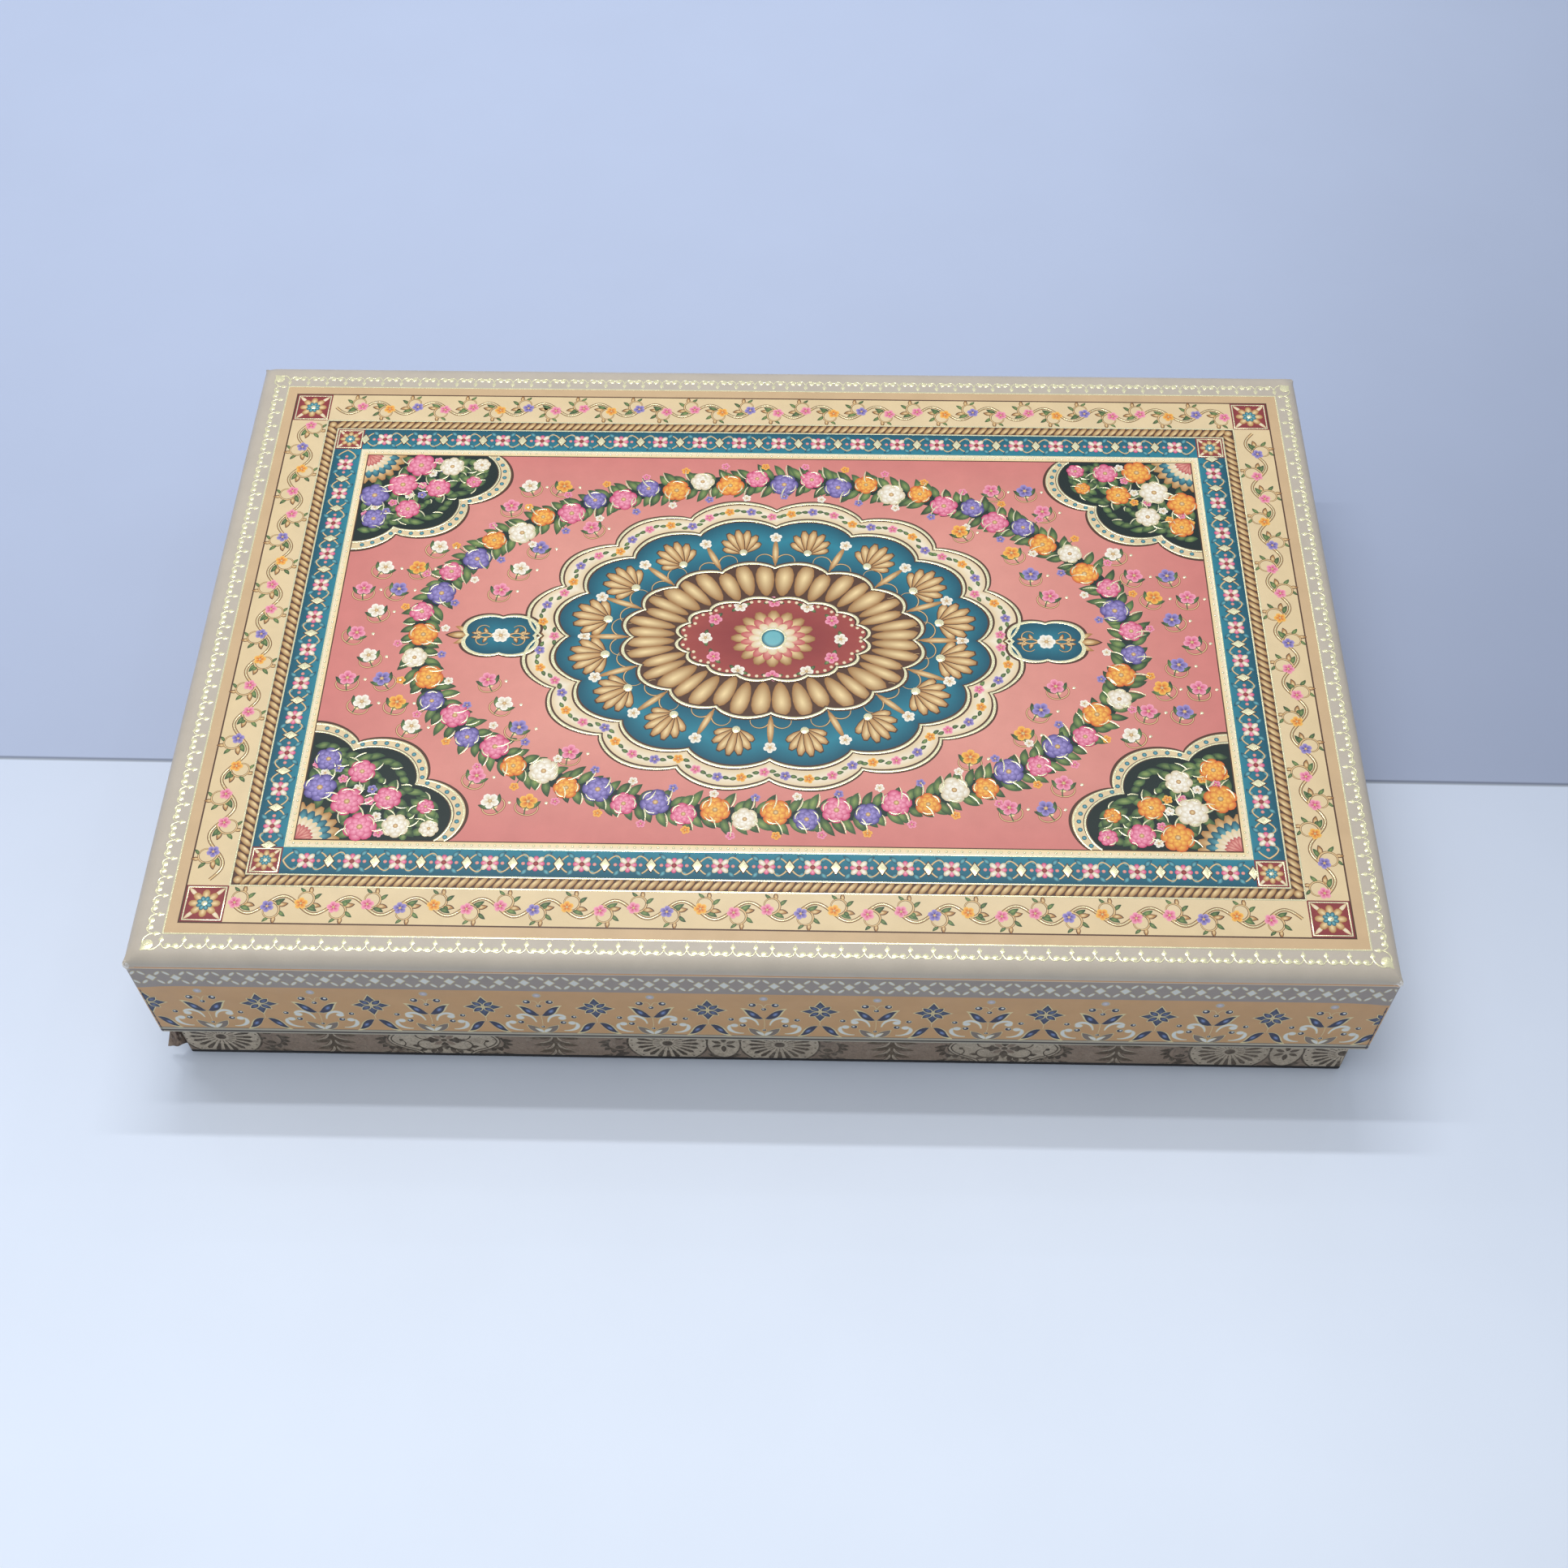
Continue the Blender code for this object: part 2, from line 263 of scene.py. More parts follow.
class Print:
    """Shapes gathered by ink, each with points, heights over the paper, triangles and colours."""

    def __init__(self):
        self.inks = {}

    def add(self, ink, points, heights, faces, colours):
        self.inks.setdefault(ink, []).append((points, heights, faces, colours))

    def rows(self, ink, outlines, level, lifts, colours, closed=True, hub=None):
        """Outlines with as many points each, joined in a row, and to a last point if hub is given."""
        count = len(outlines[0])
        here = np.arange(count if closed else count - 1)
        after = (here + 1) % count
        faces = []
        for low in range(0, (len(outlines) - 1) * count, count):
            faces.append(np.column_stack((low + here, low + after, low + count + after)))
            faces.append(np.column_stack((low + here, low + count + after, low + count + here)))
        if hub is not None:
            low = (len(outlines) - 1) * count
            faces.append(np.column_stack((low + here, low + after, np.full(len(here), low + count))))
        sizes = [count] * len(outlines) + [1] * (hub is not None)
        points = np.concatenate(list(outlines) + ([[hub]] if hub is not None else []))
        lifts = [np.broadcast_to(lift, size) for lift, size in zip(lifts, sizes)]
        heights = level * LEVEL + np.concatenate(lifts)
        colours = [np.broadcast_to(colour, (size, 3)) for colour, size in zip(colours, sizes)]
        self.add(ink, points, heights, np.concatenate(faces), np.concatenate(colours))

    def fill(self, ink, outline, level=1, tones=None, hub=None, dome=0.0):
        """A filled outline, which may change tone or bulge towards its hub."""
        hub = outline.mean() if hub is None else hub
        edge, middle = two_tones(ink, tones)
        if dome:
            inner = hub + 0.7 * (outline - hub)
            lifts = (0, 0.6 * dome, dome)
            self.rows(ink, (outline, inner), level, lifts, (edge, middle, middle), hub=hub)
        else:
            self.rows(ink, (outline,), level, (0, 0), (edge, middle), hub=hub)

    def stroke(self, ink, path, width, level=1, tones=None, closed=False):
        """A line along path, which may change width along it and tone at its middle. Foil bulges."""
        ahead = np.roll(path, -1) - np.roll(path, 1) if closed else np.gradient(path)
        half = np.broadcast_to(np.asarray(width, float) / 2, path.shape)
        side = 1j * ahead / np.maximum(np.abs(ahead), 1e-9) * half
        edge, middle = two_tones(ink, tones)
        lifts = (0, EMBOSS * np.minimum(half * 4, 1) * (ink == "foil"), 0)
        self.rows(ink, (path - side, path, path + side), level, lifts, (edge, middle, edge), closed)

    def leaf(self, ink, start, end, width, level=2, bend=0.0, sway=0.0, steps=8, tones=None):
        """A pointed leaf. bend bows its spine to the left, and sway makes it an S."""
        edge, middle = two_tones(ink, tones)
        ahead = end - start
        first = start + ahead / 3 + 1j * ahead * (bend + sway)
        second = end - ahead / 3 + 1j * ahead * (bend - sway)
        share = np.linspace(0, 1, steps + 1)
        swell = np.maximum(np.sin(np.pi * share ** 0.85), 0.0) ** 0.8
        glow = edge + (middle - edge) * (swell ** 4)[:, None]
        spine = curve(start, first, second, end, steps=steps)
        self.stroke(ink, spine, width * np.maximum(swell, 0.02), level, (edge, glow))

    def dot(self, ink, at, radius, level=2, steps=12, tones=None, dome=0.0):
        self.fill(ink, circle(at, radius, steps), level, tones, at, dome)

    def cord(self, path, width, level, taper=0.3):
        """A gold stem with a dark outline and a lit middle."""
        share = np.linspace(1, taper, len(path))
        self.stroke("umber", path, (width + 0.35) * share, level)
        self.stroke("gold", path, width * share, level + 1)

    def stamp(self, motif, at=0, turn=0.0, flip=False, lift=0):
        """Lays down a copy of another print."""
        spin = toward(turn)
        for ink, shapes in motif.inks.items():
            for points, heights, faces, colours in shapes:
                placed = (np.conj(points) if flip else points) * spin + at
                self.add(ink, placed, heights + lift * LEVEL, faces, colours)

    def mirrored(self):
        """This print with its mirror image across the y axis."""
        whole = Print()
        whole.stamp(self)
        whole.stamp(self, turn=math.pi, flip=True)
        return whole

    def ring(self, ink, outlines, level, tones=None):
        """A band through three outlines from its outer side to its inner one. Foil bulges."""
        outer, inner = two_tones(ink, tones)
        lifts = (0, EMBOSS * (ink == "foil"), 0)
        self.rows(ink, outlines, level, lifts, (outer, (outer + inner) / 2, inner))

    def frame(self, ink, half, outer, inner, level, tones=None):
        """A rectangular ring between two insets from half."""
        insets = (outer, (outer + inner) / 2, inner)
        self.ring(ink, [corners(half - (1 + 1j) * inset) for inset in insets], level, tones)

    def around(self, half, inset, margin, pitch, unit):
        """Stamps a print, or unit(width, number), along a frame's four sides, with y pointing inwards."""
        for length, distance, turn in sides(half):
            run = 2 * (length - margin)
            count = max(1, round(run / pitch))
            for k in range(count):
                x = (k + 0.5) * run / count - run / 2
                motif = unit if isinstance(unit, Print) else unit(run / count, k)
                self.stamp(motif, (x - 1j * (distance - inset)) * toward(turn), turn)

    def at_corners(self, half, inset, unit):
        """Stamps unit at a frame's four corners, each time turned as for the first of them."""
        for length, distance, turn in sides(half):
            place = -(length - inset) - 1j * (distance - inset)
            self.stamp(unit, place * toward(turn), turn)


# The lace border of the lid's top, and its frame line

FRAME_HALF = complex(180.6, 116.1)  # the frame line's centre
FRAME_LINE = 0.5
LACE_PERIOD, LACE_MIDDLE = 6.85, 4.9  # widths of the swags, and of the one at each side's middle


def lace_unit(width, blobs):
    """One swag between two finials. y runs outwards from the frame line."""
    unit = Print()
    reach = 1.18 if blobs == 2 else 0.5
    for side in (-1, 1):
        stem = side * width / 2
        left = np.array([0.62j, -0.42 + 1.4j, -0.84 + 2.2j, -0.3 + 2.85j, 3.2j])
        drop = np.append(left, -np.conj(left[3:0:-1]))
        unit.fill("foil", stem + drop, 1, hub=stem + 2.1j, dome=EMBOSS)
        end = side * reach + 4.95j
        swag = curve(stem + 2.9j, stem + 3.5j, 0.85 * stem + 4.7j, side * (reach + 0.9) + 5.3j, end)
        unit.stroke("foil", swag, 0.38, 2)
    for side in (-1, 1) if blobs == 2 else (0,):
        centre = side * reach + 4.15j
        unit.fill("foil", circle(centre, 0.95, 14), 1, hub=centre, dome=1.4 * EMBOSS)
    dip = 4.3j if blobs == 2 else 5.05j
    joint = curve(-reach + 4.95j, -0.5 * reach + dip, 0.5 * reach + dip, reach + 4.95j, steps=6)
    unit.stroke("foil", joint, 0.38, 2.5)
    return unit


def lace_corner():
    """A drop that points to the sheet's corner, held by two swags. The frame line's corner is at 0."""
    unit = Print()
    ball = circle(-3.9 - 3.9j, 1.75, 17, turn=0.25 * math.pi)
    drop = np.concatenate((ball[:8], [-5.9 - 5.9j], ball[10:]))
    unit.fill("foil", drop, 1, hub=-4.0 - 4.0j, dome=1.6 * EMBOSS)
    swag = curve(-2.9j, -3.6j, -0.7 - 5.2j, -2.4 - 6.1j, -3.7 - 5.3j)
    for path in (swag, np.conj(swag) * 1j):
        unit.stroke("foil", path, 0.5, 2)
    return unit


def lace_border():
    sheet = Print()
    for length, distance, turn in sides(FRAME_HALF):
        strip = Print()
        count = round((length - LACE_MIDDLE / 2) / LACE_PERIOD)
        width = (length - LACE_MIDDLE / 2) / count
        strip.stamp(lace_unit(LACE_MIDDLE, 1))
        for k in range(count):
            for way in (-1, 1):
                strip.stamp(lace_unit(width, 2), way * (LACE_MIDDLE / 2 + width * (k + 0.5)))
        sheet.stamp(strip, -1j * distance * toward(turn), turn, flip=True)
    sheet.at_corners(FRAME_HALF, 0.0, lace_corner())
    outer = FRAME_HALF + (1 + 1j) * FRAME_LINE / 2
    sheet.frame("foil", outer, 0.0, FRAME_LINE, 3)
    return sheet


# The skirt's motifs. y runs down

def chain_unit(width):
    """A white diamond, and the four petals of the ring on its right."""
    unit = Print()
    diamond = np.array([-1.45, -1.75j, 1.45, 1.75j])
    unit.fill("line", diamond * 1.26, 1, tones=LINE_SHADE)
    unit.fill("white", diamond, 2, tones=WHITE_SHADE)
    for up in (-1, 1):
        for side in (-1, 1):
            centre = width / 2 + side * 1.35 + 2.65j * up
            lean = -0.88 * side * up
            unit.fill("line", circle(centre, 1.55, 12, 0.42, lean), 1, tones=LINE_SHADE)
            unit.fill("white", circle(centre, 1.25, 12, 0.36, lean), 2, tones=WHITE_SHADE)
    return unit


def navy_leaf(unit, start, end, width, bend, sway):
    ahead = (end - start) / abs(end - start)
    unit.leaf("line", start - 0.3 * ahead, end + 1.4 * ahead, width + 0.5, 1, bend, sway, 10)
    unit.leaf("navy", start, end, width, 2, bend, sway, 10)
    middle = start + 0.55 * (end - start)
    unit.dot("navy", middle, 0.36 * width, 3, 10, NAVY_LIT)
    reach = 0.24 * (end - start)
    unit.leaf("navy", middle - reach, middle + reach, 0.62 * width, 4, bend, sway, 6, NAVY_LIT)


def berry(unit, at, size):
    radius = 1.2 * size
    unit.dot("line", at, radius + 0.2, 1)
    unit.dot("navy", at, radius, 2)
    unit.dot("white", at - radius * (0.2 + 0.25j), radius * 0.45, 3, 8)


def sprig():
    """A tulip spray. x is 0 on its axis, and y runs down from near the tan band's top."""
    half = Print()
    navy_leaf(half, -0.3 + 15.9j, -6.2 + 10.1j, 2.7, -0.04, -0.17)
    berry(half, -3.5 + 7.1j, 0.95)
    berry(half, -10.2 + 16.5j, 0.72)
    berry(half, -6.6 + 20.3j, 0.8)
    half.stroke("line", curve(-2.6 + 6.5j, -1.0 + 5.9j, -0.5 + 6.6j, -0.1 + 8.8j, steps=8), 0.2, 1)
    inner = curve(-7.6 + 16.8j, -6.6 + 14.4j, -2.4 + 14.6j, -1.8 + 20.2j)
    outer = curve(-10.5 + 20.2j, -12.0 + 22.6j, -10.0 + 26.0j, -6.4 + 25.6j)
    swell = np.sin(np.pi * np.linspace(0, 1, 17) ** 0.7)
    for ball, path in ((-6.5 + 17.4j, inner), (-9.3 + 20.5j, outer)):
        half.stroke("line", path, 0.6 + 0.95 * swell, 1)
        half.stroke("white", path, 0.2 + 0.95 * swell, 2)
        half.fill("line", circle(ball, 1.35, 14, 0.9), 1)
        half.fill("white", circle(ball, 1.12, 14, 0.9), 2)
    side = np.concatenate((
        curve(27.0j, -0.2 + 24.6j, -2.0 + 22.9j, -4.8 + 22.2j, steps=8),
        curve(-4.8 + 22.2j, -4.8 + 24.8j, -3.4 + 27.0j, -1.2 + 27.2j, steps=8)[1:],
    ))
    half.fill("line", side + (side - side.mean()) * 0.12, 1)
    half.fill("grey", side, 2)
    half.leaf("line", -0.1 + 27.1j, -2.75 + 24.2j, 1.6, 3, 0.1)
    half.leaf("white", -0.2 + 27.0j, -2.5 + 24.4j, 1.2, 4, 0.1)
    unit = half.mirrored()
    berry(unit, 9.7j, 0.68)
    berry(unit, 23.3j, 0.5)
    unit.stroke("line", curve(16.2j, 0.3 + 19.0j, 22.2j, steps=6), 0.18, 1)
    unit.dot("line", 3.0j, 1.42, 1, 16, tones=LINE_SHADE)
    unit.dot("grey", 3.0j, 1.18, 2, 16, tones=(PEARL * 0.75, PEARL * 1.2))
    return unit


def star():
    """An eight-petalled star, and two leaves in a steep roof under it."""
    unit = Print()
    centre = 10.7j
    for k in range(4):
        way = 1j ** k
        reach = (5.6, 6.2)[k % 2]
        heart = 0.45 * reach * way
        kite = np.array([0.6, 0.46 * reach + 1.65j, reach, 0.46 * reach - 1.65j]) * way
        unit.fill("line", centre + heart + (kite - heart) * 1.22, 1)
        unit.fill("navy", centre + kite, 2, tones=(NAVY, NAVY_LIGHT * 0.3), hub=centre + heart)
        small = way * DIAGONAL
        unit.leaf("line", centre + small * 0.2, centre + small * 4.8, 2.6, 3)
        dimly_lit = (NAVY, NAVY_LIGHT * 0.5)
        unit.leaf("navy", centre + small * 0.7, centre + small * 4.4, 2.0, 4, tones=dimly_lit)
    half = Print()
    navy_leaf(half, -0.6 + 20.2j, -6.2 + 26.5j, 2.5, 0.0, 0.17)
    unit.stamp(half.mirrored())
    unit.stroke("line", curve(16.4j, 18.4j, 20.0j, steps=4), 0.18, 1)
    return unit


# The tray's tiles

TILE = 36.0
TILE_SHIFT = 5.5
TILE_ROWS = (13.2, 49.2)  # how far the rows' middles lie below the rim
HALF_TILE = (0.5 + 0.5j) * TILE
TILE_EDGE = -17.6  # how far a tile's scrolls and plumes reach to its left
OVAL = -TILE / 2  # the middle of the oval between two fans
FAN_SPOKES = 20


def scroll(unit, start, heading, length, turn, width, lobes=5):
    """A brown curl with leaf lobes along its outer side, and a round end."""
    path = volute(start, heading, length, turn, 24, 1.4)
    share = np.linspace(0, 1, len(path))
    unit.stroke("brown", path, width * (1 - 0.7 * share), 3)
    unit.dot("brown", path[-1], width * 0.75, 4, 9)
    hand = -np.sign(turn)
    for k in range(lobes):
        spot = 1 + int(0.62 * k / lobes * len(path))
        tip = path[spot] + sprout(path, spot, length * (0.23 - 0.025 * k), 0.8 * hand)
        unit.leaf("brown", path[spot], tip, width * 1.9, 3, -0.16 * hand, steps=6)


def tile_fan(joined=False):
    """A fan rosette in a ring, leaves at the corners, and perhaps an oval that joins it to the next."""
    unit = Print()
    unit.fill("ivory", circle(0, 13.2, 40), 1)
    unit.stroke("brown", circle(0, 12.9, 40), 0.7, 2, closed=True)
    unit.fill("mauve", corners(HALF_TILE), 0.5, tones=TILE_MAUVE * 0.85)
    unit.dot("brown", 0, 1.7, steps=16)
    for k in range(FAN_SPOKES):
        way = toward(2 * math.pi * k / FAN_SPOKES)
        slot = np.array([4.8 - 0.35j, 9.2 - 0.85j, 10.3, 9.2 + 0.85j, 4.8 + 0.35j]) * way
        unit.fill("brown", slot, 2)
        unit.stroke("brown", curve(2.6 * way, 4.6 * way, steps=2), 0.28, 2)
        unit.dot("brown", 11.6 * way * toward(math.pi / FAN_SPOKES), 0.36, steps=6)
    corner = Print()
    for lean in (-0.55, -0.28, 0.0, 0.28, 0.55):
        way = toward(0.25 * math.pi + lean)
        reach = 22.6 - 9.0 * abs(lean)
        corner.leaf("brown", 14.2 * way, reach * way, 2.3, 2, 0.3 * lean)
    corner.dot("ivory", 13.9 * DIAGONAL, 0.9, 3, 9)
    for k in range(4):
        unit.stamp(corner, turn=0.5 * math.pi * k)
    if joined:
        oval = circle(OVAL, 5.4, 28, squash=1.7)
        unit.fill("ivory", oval, 3)
        unit.stroke("brown", oval, 0.6, 4, closed=True)
        for k in range(6):
            way = toward(math.pi * (k / 3 + 0.5))
            unit.leaf("brown", OVAL + 1.0 * way, OVAL + (3.4 + 2.0 * abs(way.imag)) * way, 1.7, 5)
    return unit


def tile_damask():
    """A tall plume of curling leaves on a worn mauve ground, between scrolls."""
    half = Print()
    for k in range(7):
        root = (4.3 * k - 17.0) * 1j
        reach = 10.5 - 1.1 * k
        tip = root - reach + (5.2 + 0.5 * k) * 1j
        worn = (1.9 * TILE_BROWN, 1.3 * TILE_BROWN)
        half.leaf("brown", root, tip, 3.3, 2 + 0.4 * (k % 2), -0.28, tones=worn)
        vein = (0.9 * root + 0.1 * tip, 0.25 * root + 0.75 * tip)
        half.leaf("ivory", *vein, 0.9, 4, -0.24, tones=(TILE_IVORY, TILE_MAUVE))
    foot = TILE_EDGE - 15.0j
    for reach, lean in ((9.5, 1.95), (8.5, 2.5), (7.0, 3.05)):
        half.leaf("brown", foot, foot + reach * toward(lean - 1.35), 2.4, 3, 0.15)
    scroll(half, TILE_EDGE - 2.0j, 1.1, 17.0, 4.7, 1.0)
    scroll(half, TILE_EDGE + 8.0j, 1.0, 17.0, 4.7, 1.0)
    unit = half.mirrored()
    unit.leaf("brown", 11.0j, 17.6j, 2.4, 3.2)
    unit.fill("mauve", corners(HALF_TILE), 0.5)
    return unit


def tile_ogee():
    """An ogee panel of strapwork, with scrolls inside and around it."""
    half = Print()
    outline = np.concatenate((
        curve(17.6j, -3.2 + 12.8j, -6.4 + 14.6j, -8.0 + 9.6j, steps=12),
        curve(-8.0 + 9.6j, -9.0 + 6.2j, -16.8 + 6.0j, TILE_EDGE, steps=12)[1:],
    ))
    half.fill("ivory", np.concatenate((outline, np.conj(outline[::-1]))), 1, hub=0j)
    for path in (outline, np.conj(outline)):
        half.stroke("brown", path, 1.6, 2)
        half.stroke("ivory", path, 0.6, 3)
    for up in (-1, 1):
        scroll(half, -1.0 + 4.6j * up, 2.4 * up, 17.0, 4.9 * up, 0.95, 4)
        scroll(half, -7.6 + 17.0j * up, -2.9 * up, 13.0, 4.4 * up, 0.95, 4)
        scroll(half, -16.4 + 8.6j * up, 1.2 * up, 12.0, -4.6 * up, 0.85, 4)
        half.leaf("brown", -2.2 + 7.5j * up, -3.2 + 12.0j * up, 1.5, 3, 0.2 * up)
    unit = half.mirrored()
    for k in range(4):
        way = 1j ** k
        unit.leaf("brown", 1.4 * way, 6.8 * way, 2.6, 3)
        unit.leaf("mauve", 1.2 * way * toward(0.79), 4.8 * way * toward(0.79), 1.7, 3)
    unit.dot("brown", 0, 1.0, 4)
    return unit


# The lid's picture

ART = complex(176.9, 112.4)  # half its size
VINE_END, ROPE_END, TEAL_END, FIELD_EDGE = 13.2, 17.4, 27.6, 30.6  # insets of its borders
VINE_PITCH, ROPE_PITCH, LATTICE_PITCH, BEAD_PITCH = 20.5, 2.75, 14.5, 2.4
GOLD_LINE, DARK_LINE = 0.5, 0.4
SPANDREL = complex(54.0, 45.0)  # a quarter oval's reach along x and y, and so for the next two
WREATH = complex(118.0, 71.0)
WREATH_LEAVES, WREATH_BLOOMS = 3.4, 9.6  # from one pair of leaves or one bloom to the next
MEDALLION = complex(84.0, 62.0)
GARLAND, PALMETTES, FLUTES, HEART = MEDALLION.real, 74.4, 51.0, 33.0  # where its zones begin, along x
LOBES, LOBE_DEPTH, RIM_STEPS = 16, 0.075, 320
FLUTE_COUNT = 40
HEART_SQUASH = 0.86  # the height of the medallion's heart, as a share of its width
PENDANT_START = 0.925 * MEDALLION.real

# The sprays' grid, and the room that they leave to the field's edge and to what lies on it
SPRAY_ACROSS, SPRAY_UP = 11.6, 9.6
EDGE_ROOM, SPANDREL_ROOM, MEDALLION_ROOM, WREATH_ROOM, PENDANT_ROOM = 5.2, 4.0, 5.0, 11.4, 14.0

# Foil on leaves and blooms
ARC = ((0.82, -0.5), (1.0, 0.0), (0.82, 0.5))  # a glint on a bloom: share of its radius, and angle
GLINT_WIDTHS = 0.5 * np.sin(np.linspace(0.3, 2.85, 7))
EDGE_WIDTHS = 0.5 * np.sin(np.linspace(0.35, 2.9, 7))


def petals(unit, ink, count, reach, width, level, start=0.0, squash=1.0, tones=None):
    """A ring of petals round 0. Neighbours that overlap lie on levels of their own."""
    for k in range(count):
        turn = start + 2 * math.pi * k / count
        shape = petal(reach, width, turn, 12)
        hub = 0.62 * reach * toward(turn)
        shape, hub = (np.real(place) + 1j * squash * np.imag(place) for place in (shape, hub))
        unit.fill(ink, shape, level + 0.3 * (k % 2) + 0.2 * (k == count - 1), tones, hub)


def little_flower(kind, radius, count=5):
    unit = Print()
    dark, light = BLOSSOMS[kind]
    for k in range(count):
        turn = 2 * math.pi * k / count
        shape = petal(radius, radius * 0.95, turn, 8)
        unit.fill(kind, shape, 5 + 0.1 * k, tones=(light, dark), hub=0.25 * radius * toward(turn))
    unit.dot("gold", 0, radius * 0.24, 6, 7)
    return unit


def blossom(kind, radius, rings, count):
    """A round bloom of rings of petals, the inner ones smaller and lighter."""
    unit = Print()
    dark, light = BLOSSOMS[kind]
    unit.dot("umber", 0, radius * 0.9, 4, 14)
    for ring in range(rings):
        size = radius * (1 - 0.3 * ring)
        tone = dark + (light - dark) * 0.25 * ring
        width = 2.05 * size * math.sin(math.pi / count)
        petals(unit, kind, count, size, width, 5 + 1.1 * ring, math.pi / count * ring, tones=(tone, light))
    unit.dot("gold", 0, radius * 0.18, 5.5 + 1.1 * rings, 9)
    return unit


def glints(unit, at, radius, leans, level):
    """Arcs of foil near a bloom's edge, in the directions of leans."""
    for lean in leans:
        ends = (at + radius * reach * toward(lean + turn) for reach, turn in ARC)
        unit.stroke("foil", curve(*ends, steps=6), GLINT_WIDTHS, level)


def green_leaf(unit, start, end, width, level=2.0, bend=0.0, glint=False):
    """A leaf of its own shade of green, perhaps with a foil edge."""
    shade = random.random()
    edge = LEAF_DARK + (LEAF_GREEN - LEAF_DARK) * (0.3 + 0.6 * shade)
    vein = LEAF_GREEN + (LEAF_PALE - LEAF_GREEN) * (0.4 + 0.6 * shade)
    unit.leaf("green", start, end, width, level, bend, tones=(edge, vein))
    if glint:
        ahead = end - start
        side = 1j * ahead * (0.5 * width / abs(ahead)) * (1 if bend <= 0 else -1)
        swell = start + ahead * 0.62 + side * 1.25
        path = curve(start + ahead * 0.3 + side * 0.9, swell, end + side * 0.1, steps=6)
        unit.stroke("foil", path, EDGE_WIDTHS, 9)


def leafy_curl(unit, path, spots, sizes, hand, level):
    """Gold leaves with dark outlines on one side of a path."""
    for spot, size in zip(spots, sizes):
        tip = sprout(path, spot, size, 0.95 * hand)
        unit.leaf("umber", path[spot], path[spot] + 1.12 * tip, 0.44 * size + 0.4, level, -0.1 * hand)
        unit.leaf("gold", path[spot], path[spot] + tip, 0.44 * size, level + 1, -0.1 * hand)


def vine_unit(width, number):
    """A wave of stem with two curls and their flowers, for the outer band."""
    unit = Print()
    x = np.linspace(-width / 2, width / 2, 33)
    stem = x + 3.1j * np.sin(2 * np.pi * x / width)
    unit.cord(stem, 0.75, 3, 1.0)
    for side in (-1, 1):
        start = stem[2] if side == -1 else stem[18]
        path = volute(start, -0.25 * side, 0.72 * width, -5.6 * side, 24, 1.25)
        unit.cord(path, 0.6, 3, 0.4)
        kind = ("pink", "violet", "sun", "pink")[(2 * number + (side > 0)) % 4]
        unit.stamp(little_flower(kind, 2.1), path[-1], random.random())
        leafy_curl(unit, path, (4, 12), (3.2, 2.4), side, 3)
        for spot, size in ((2, 3.6), (8, 3.0), (15, 2.4)):
            tip = path[spot] + sprout(path, spot, size, 0.9 * side)
            green_leaf(unit, path[spot], tip, 0.44 * size, 4, -0.1 * side)
        green_leaf(unit, path[5], path[5] + (path[5] - path[14]) * 0.45, 1.5, 4, 0.1)
    for stretch in (stem[3:14], stem[19:30]):
        unit.stroke("foil", stretch, 0.3, 9)
    return unit


def corner_block(size):
    """A square rosette in a gold frame. Its lower left corner is at 0."""
    half = (0.5 + 0.5j) * size
    block = Print()
    block.fill("maroon", corners(half), 3.8)
    block.frame("foil", half, 0.45, 0.85, 4.3)
    petals(block, "gold", 8, 0.38 * size, 0.21 * size, 5.3)
    petals(block, "teal", 8, 0.2 * size, 0.13 * size, 6, math.pi / 8)
    block.dot("foil", 0, 0.07 * size, 9, dome=2 * EMBOSS)
    for k in range(4):
        way = size * toward(math.pi * (0.25 + 0.5 * k))
        block.leaf("cream", 0.28 * way, 0.6 * way, 0.1 * size, 4.8)
    unit = Print()
    unit.stamp(block, half)
    return unit


def lattice_unit(width):
    """A flower between two lozenges, for the teal band."""
    unit = Print()
    reach = width / 2
    for way in (-1, 1):
        far = way * reach
        for up in (-1, 1):
            path = curve(far, far * 0.62 + 4.6j * up, far * 0.3 + 3.6j * up, way * 2.2 + 0.8j * up)
            unit.stroke("gold", path, np.linspace(0.6, 0.25, 17), 4)
            unit.leaf("teal", way * 2.6 + 1.6j * up, way * 4.9 + 4.2j * up, 1.6, 4, 0.12 * way * up)
        unit.dot("rose", way * reach * 0.55, 0.6, 5, 8, (CORAL, SALMON))
    lozenge = np.array([-1.5, -2.3j, 1.5, 2.3j])
    unit.fill("umber", reach + lozenge * 1.25, 5)
    unit.fill("foil", reach + lozenge, 9, dome=EMBOSS)
    petals(unit, "pink", 4, 2.8, 1.9, 5, tones=BLOSSOMS["pink"])
    petals(unit, "cream", 4, 3.3, 1.9, 6, math.pi / 4, tones=BLOSSOMS["cream"])
    unit.dot("maroon", 0, 0.85, 7, 9)
    return unit


def palmette(length):
    """A fan of gold leaves that points along +x, in seven steps from its sides to its middle."""
    unit = Print()
    for k, lean in enumerate((-1.15, 1.15, -0.75, 0.75, -0.36, 0.36, 0.0)):
        reach = length * (0.55 + 0.45 * math.cos(lean * 1.1))
        shape = petal(reach, 0.3 * length, lean, 10)
        hub = 0.7 * reach * toward(lean)
        unit.fill("umber", hub + (shape - hub) * 1.16, 4 + 0.8 * k)
        unit.fill("gold", shape, 4.4 + 0.8 * k, hub=hub)
    unit.dot("foil", 0, length * 0.13, 9, 10, dome=2 * EMBOSS)
    return unit


